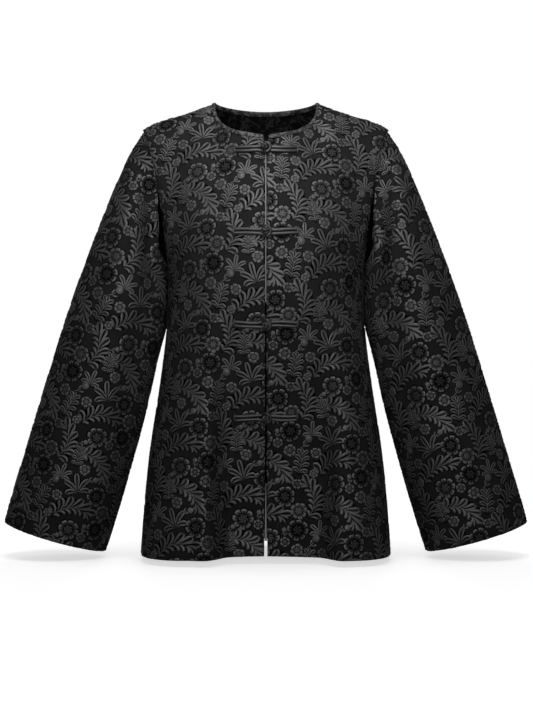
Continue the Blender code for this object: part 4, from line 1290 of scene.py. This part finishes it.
def knot_points(number):
    """A button knot: one strand that goes round a ball, crosses itself eight times and meets its start."""
    centre = over_cloth(middles[number], 0, 0, BALL_LIFT)
    axis = Vector((math.cos(number * 1.9) * 0.8, -0.55, math.sin(number * 1.9) * 0.8)).normalized()
    side = axis.cross(Vector((0.3, 0.5, 0.8))).normalized()
    other = axis.cross(side)
    points = []
    for turn in np.linspace(0, 2 * math.pi, 161):
        reach = KNOT_RADIUS + KNOT_RIPPLE * math.sin(2 * BIGHTS * turn)
        from_axis = math.radians(90 + KNOT_TILT * math.cos(BIGHTS * turn))
        flat = math.sin(from_axis) * reach
        spin = LEADS * turn
        sideways = side * math.cos(spin) * flat + other * math.sin(spin) * flat
        points.append(centre + (sideways + axis * math.cos(from_axis) * reach) * MM)
    return points


def curve_object(name, lines):
    """A curve with one spline for each line of points; its second value is the width, or widths, in mm."""
    data = bpy.data.curves.new(name, "CURVE")
    data.dimensions = "3D"
    for points, widths in lines:
        spline = data.splines.new("POLY")
        spline.points.add(len(points) - 1)
        for target, point, width in zip(spline.points, points, np.broadcast_to(widths, len(points))):
            target.co = (*point, 1.0)
            target.radius = width / CORD
    return place(name, data)


def cord_length(points):
    """The length in mm of a cord that follows these points."""
    return sum((ahead - here).length for here, ahead in zip(points, points[1:])) * 1000


paths = {
    "loop": loop_points(1),
    "rise": rising_points(1, 1),
    "knot": knot_points(1),
    "bar": bar_points(1, 1),
}
print("lengths on a frog, mm:", {name: round(cord_length(points)) for name, points in paths.items()})

# %% All four frogs
frogs = {}
for number in middles:
    parts = {
        "loop": [(loop_points(number), CORD), (bar_points(number, -1), BAR)],
        "knot": [
            (rising_points(number, 1), CORD),
            (rising_points(number, -1), CORD),
            (bar_points(number, 1), BAR),
            (knot_points(number), STRAND),
        ],
    }
    for part, lines in parts.items():
        curve = curve_object(f"frog_{number}_{part}_satin", lines)
        made = with_nodes(curve, cords, Width=CORD * MM, Step=0.9 * MM, Sides=12, Finish=satin)
        frogs[f"frog_{number}_{part}"] = made
print(len(frogs), "frog halves,", sum(triangles(frog) for frog in frogs.values()), "triangles")

# %% [markdown]
# ## Stitches
# The hem is sewn with a plain lockstitch. Stitches repeat along a path, so Geometry Nodes lay them: a curve
# is cut into equal steps, and one short bead of thread is turned along it at every step.

# %% Stitch line
STITCH = 2.9  # mm between stitches
HEM = 15.0  # mm from the hem's edge to its stitch line
HEM_BELOW = -0.60  # metres: a rim below this height is the hem
THREAD_LIFT = 0.1  # mm between the cloth and the thread's middle
BEAD = {"Segments": 6, "Rings": 4, "Radius": 0.5}


def sewing_thread():
    """Black polyester thread: two plies, with a dull shine."""
    made, tree, shader = new_material("sewing_thread", Roughness=0.5, Specular_IOR_Level=0.5)
    where = add(tree, "ShaderNodeTexCoord").outputs["Object"]
    plies = add(tree, "ShaderNodeTexNoise", {"Vector": where, "Scale": 1000 / 0.8, "Detail": 1.0})
    dress(tree, shader, plies, ((0.3, "121212"), (0.7, "2B2B2B")))
    return made


def stitch_tree():
    """Lays beads of thread end to end along the curves that it is given."""
    sizes = {"Spacing": 0.0029, "Length": 0.0023, "Thickness": 0.0005, "Finish": "Material"}
    tree, given = new_tree("stitches", sizes)
    equal = {"Curve": given["Geometry"], "Length": given["Spacing"]}
    steps = add(tree, "GeometryNodeResampleCurve", equal, mode="LENGTH")
    bead = add(tree, "GeometryNodeMeshUVSphere", BEAD)
    thin = given["Thickness"]
    size = add(tree, "ShaderNodeCombineXYZ", {"X": thin, "Y": thin, "Z": given["Length"]})
    ahead = {"Vector": add(tree, "GeometryNodeInputTangent")}
    turned = add(tree, "FunctionNodeAlignRotationToVector", ahead, axis="Z")
    sewn = {"Points": steps, "Instance": bead, "Rotation": turned, "Scale": size}
    end_tree(tree, add(tree, "GeometryNodeInstanceOnPoints", sewn), given["Finish"])
    return tree


def above_hem(node, distance):
    """Points over a panel's cloth, this many mm up from its hem, found up the columns of its outer face."""
    mesh = bmesh.new()
    mesh.from_mesh(outer_meshes[node])
    hem = [v for v in mesh.verts if v.is_boundary and v.co.z < HEM_BELOW and len(v.link_edges) == 3]
    found = []
    for vert in hem:
        edge = next(e for e in vert.link_edges if not e.is_boundary)
        left = distance * MM
        while True:
            other = edge.other_vert(vert)
            if edge.calc_length() >= left:
                share = left / edge.calc_length()
                normal = vert.normal.lerp(other.normal, share).normalized()
                found.append(vert.co.lerp(other.co, share) + normal * (THREAD_LIFT * MM))
                break
            left -= edge.calc_length()
            near = set(edge.link_faces)
            onward = [e for e in other.link_edges if not near & set(e.link_faces)]
            if not onward:
                break
            vert, edge = other, onward[0]
    mesh.free()
    return sorted(found, key=lambda p: p.x)


thread, stitches = sewing_thread(), stitch_tree()
seams = {}
for node in ("back", "front_left", "front_right"):
    curve = curve_object(node + "_hem_stitches", [(above_hem(node, HEM), CORD)])
    seams[node] = with_nodes(curve, stitches, Spacing=STITCH * MM, Finish=thread)
bead_faces = BEAD["Segments"] * BEAD["Rings"]
print("stitches:", sum(len(seam.data.polygons) for seam in seams.values()) // bead_faces)

# %% [markdown]
# ## The facing's folded edge
# Each front is finished inside with a facing of pale satin. Its fold reaches the very edge of the left
# front, so a thin pale line shows between the fronts from the first frog to below the second. Below the
# last frog the fronts fall open, and the line comes back and grows towards the hem.

# %% Facing edge
FACING_EDGE = (
    # along the left front's edge: z, and mm of the fold that shows, for each of its two lengths
    ((-0.079, 1.3), (-0.288, 1.3)),
    ((-0.545, 0.6), (-0.627, 3.6)),
)
FOLD_POINTS = 60
FOLD_BEHIND = 0.4  # mm that the fold lies behind the front's surface
facing_satin = new_material("pale_satin_facing", Base_Color=linear("868686"), Roughness=0.5)[0]
meeting = (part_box("front_left")[0].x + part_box("front_right")[1].x) / 2
facing_lines = []
for (top, narrow), (bottom, wide) in FACING_EDGE:
    line = []
    for z in np.linspace(top, bottom, FOLD_POINTS):
        beside, _ = seen_from_front(1, meeting + ASIDE * MM, z)
        line.append(Vector((meeting, beside.y + FOLD_BEHIND * MM, z)))
    facing_lines.append((line, np.linspace(narrow, wide, FOLD_POINTS)))
facing_edge = curve_object("front_left_facing_edge", facing_lines)
facing_edge = with_nodes(facing_edge, cords, Width=CORD * MM, Step=2.0 * MM, Sides=6, Finish=facing_satin)
print(f"facing edge at x {meeting * 1000:.2f} mm, {len(facing_edge.data.polygons)} faces")

# %% [markdown]
# ## Putting it together
# Every piece is attached to the root, and the imported node that it takes the place of is hidden.

# %% Pieces on the frame
for node in PANELS:
    cloth, woven = cloths[node], figures[node]
    for piece in (cloth, woven):
        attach(piece, "root")
    if node in seams:
        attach(seams[node], "root")
    if node == "front_left":
        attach(facing_edge, "root")
    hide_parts(node)
    wide, long = (float(size) for size in cuts[node])
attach(binding, "root")
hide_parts("neck_binding")
for node, satin_piece in frogs.items():
    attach(satin_piece, "root")
    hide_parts(node)
print(len(cloths), "panels hung, with", len(seams), "hem stitchings and", len(frogs), "frog halves")

# %% Sizes and the end
pieces = [*cloths.values(), *figures.values(), *seams.values(), facing_edge, binding, *frogs.values()]
counts = [triangles(piece) for piece in pieces]
print(f"{len(pieces)} pieces, {sum(counts)} triangles, the most {max(counts)}")
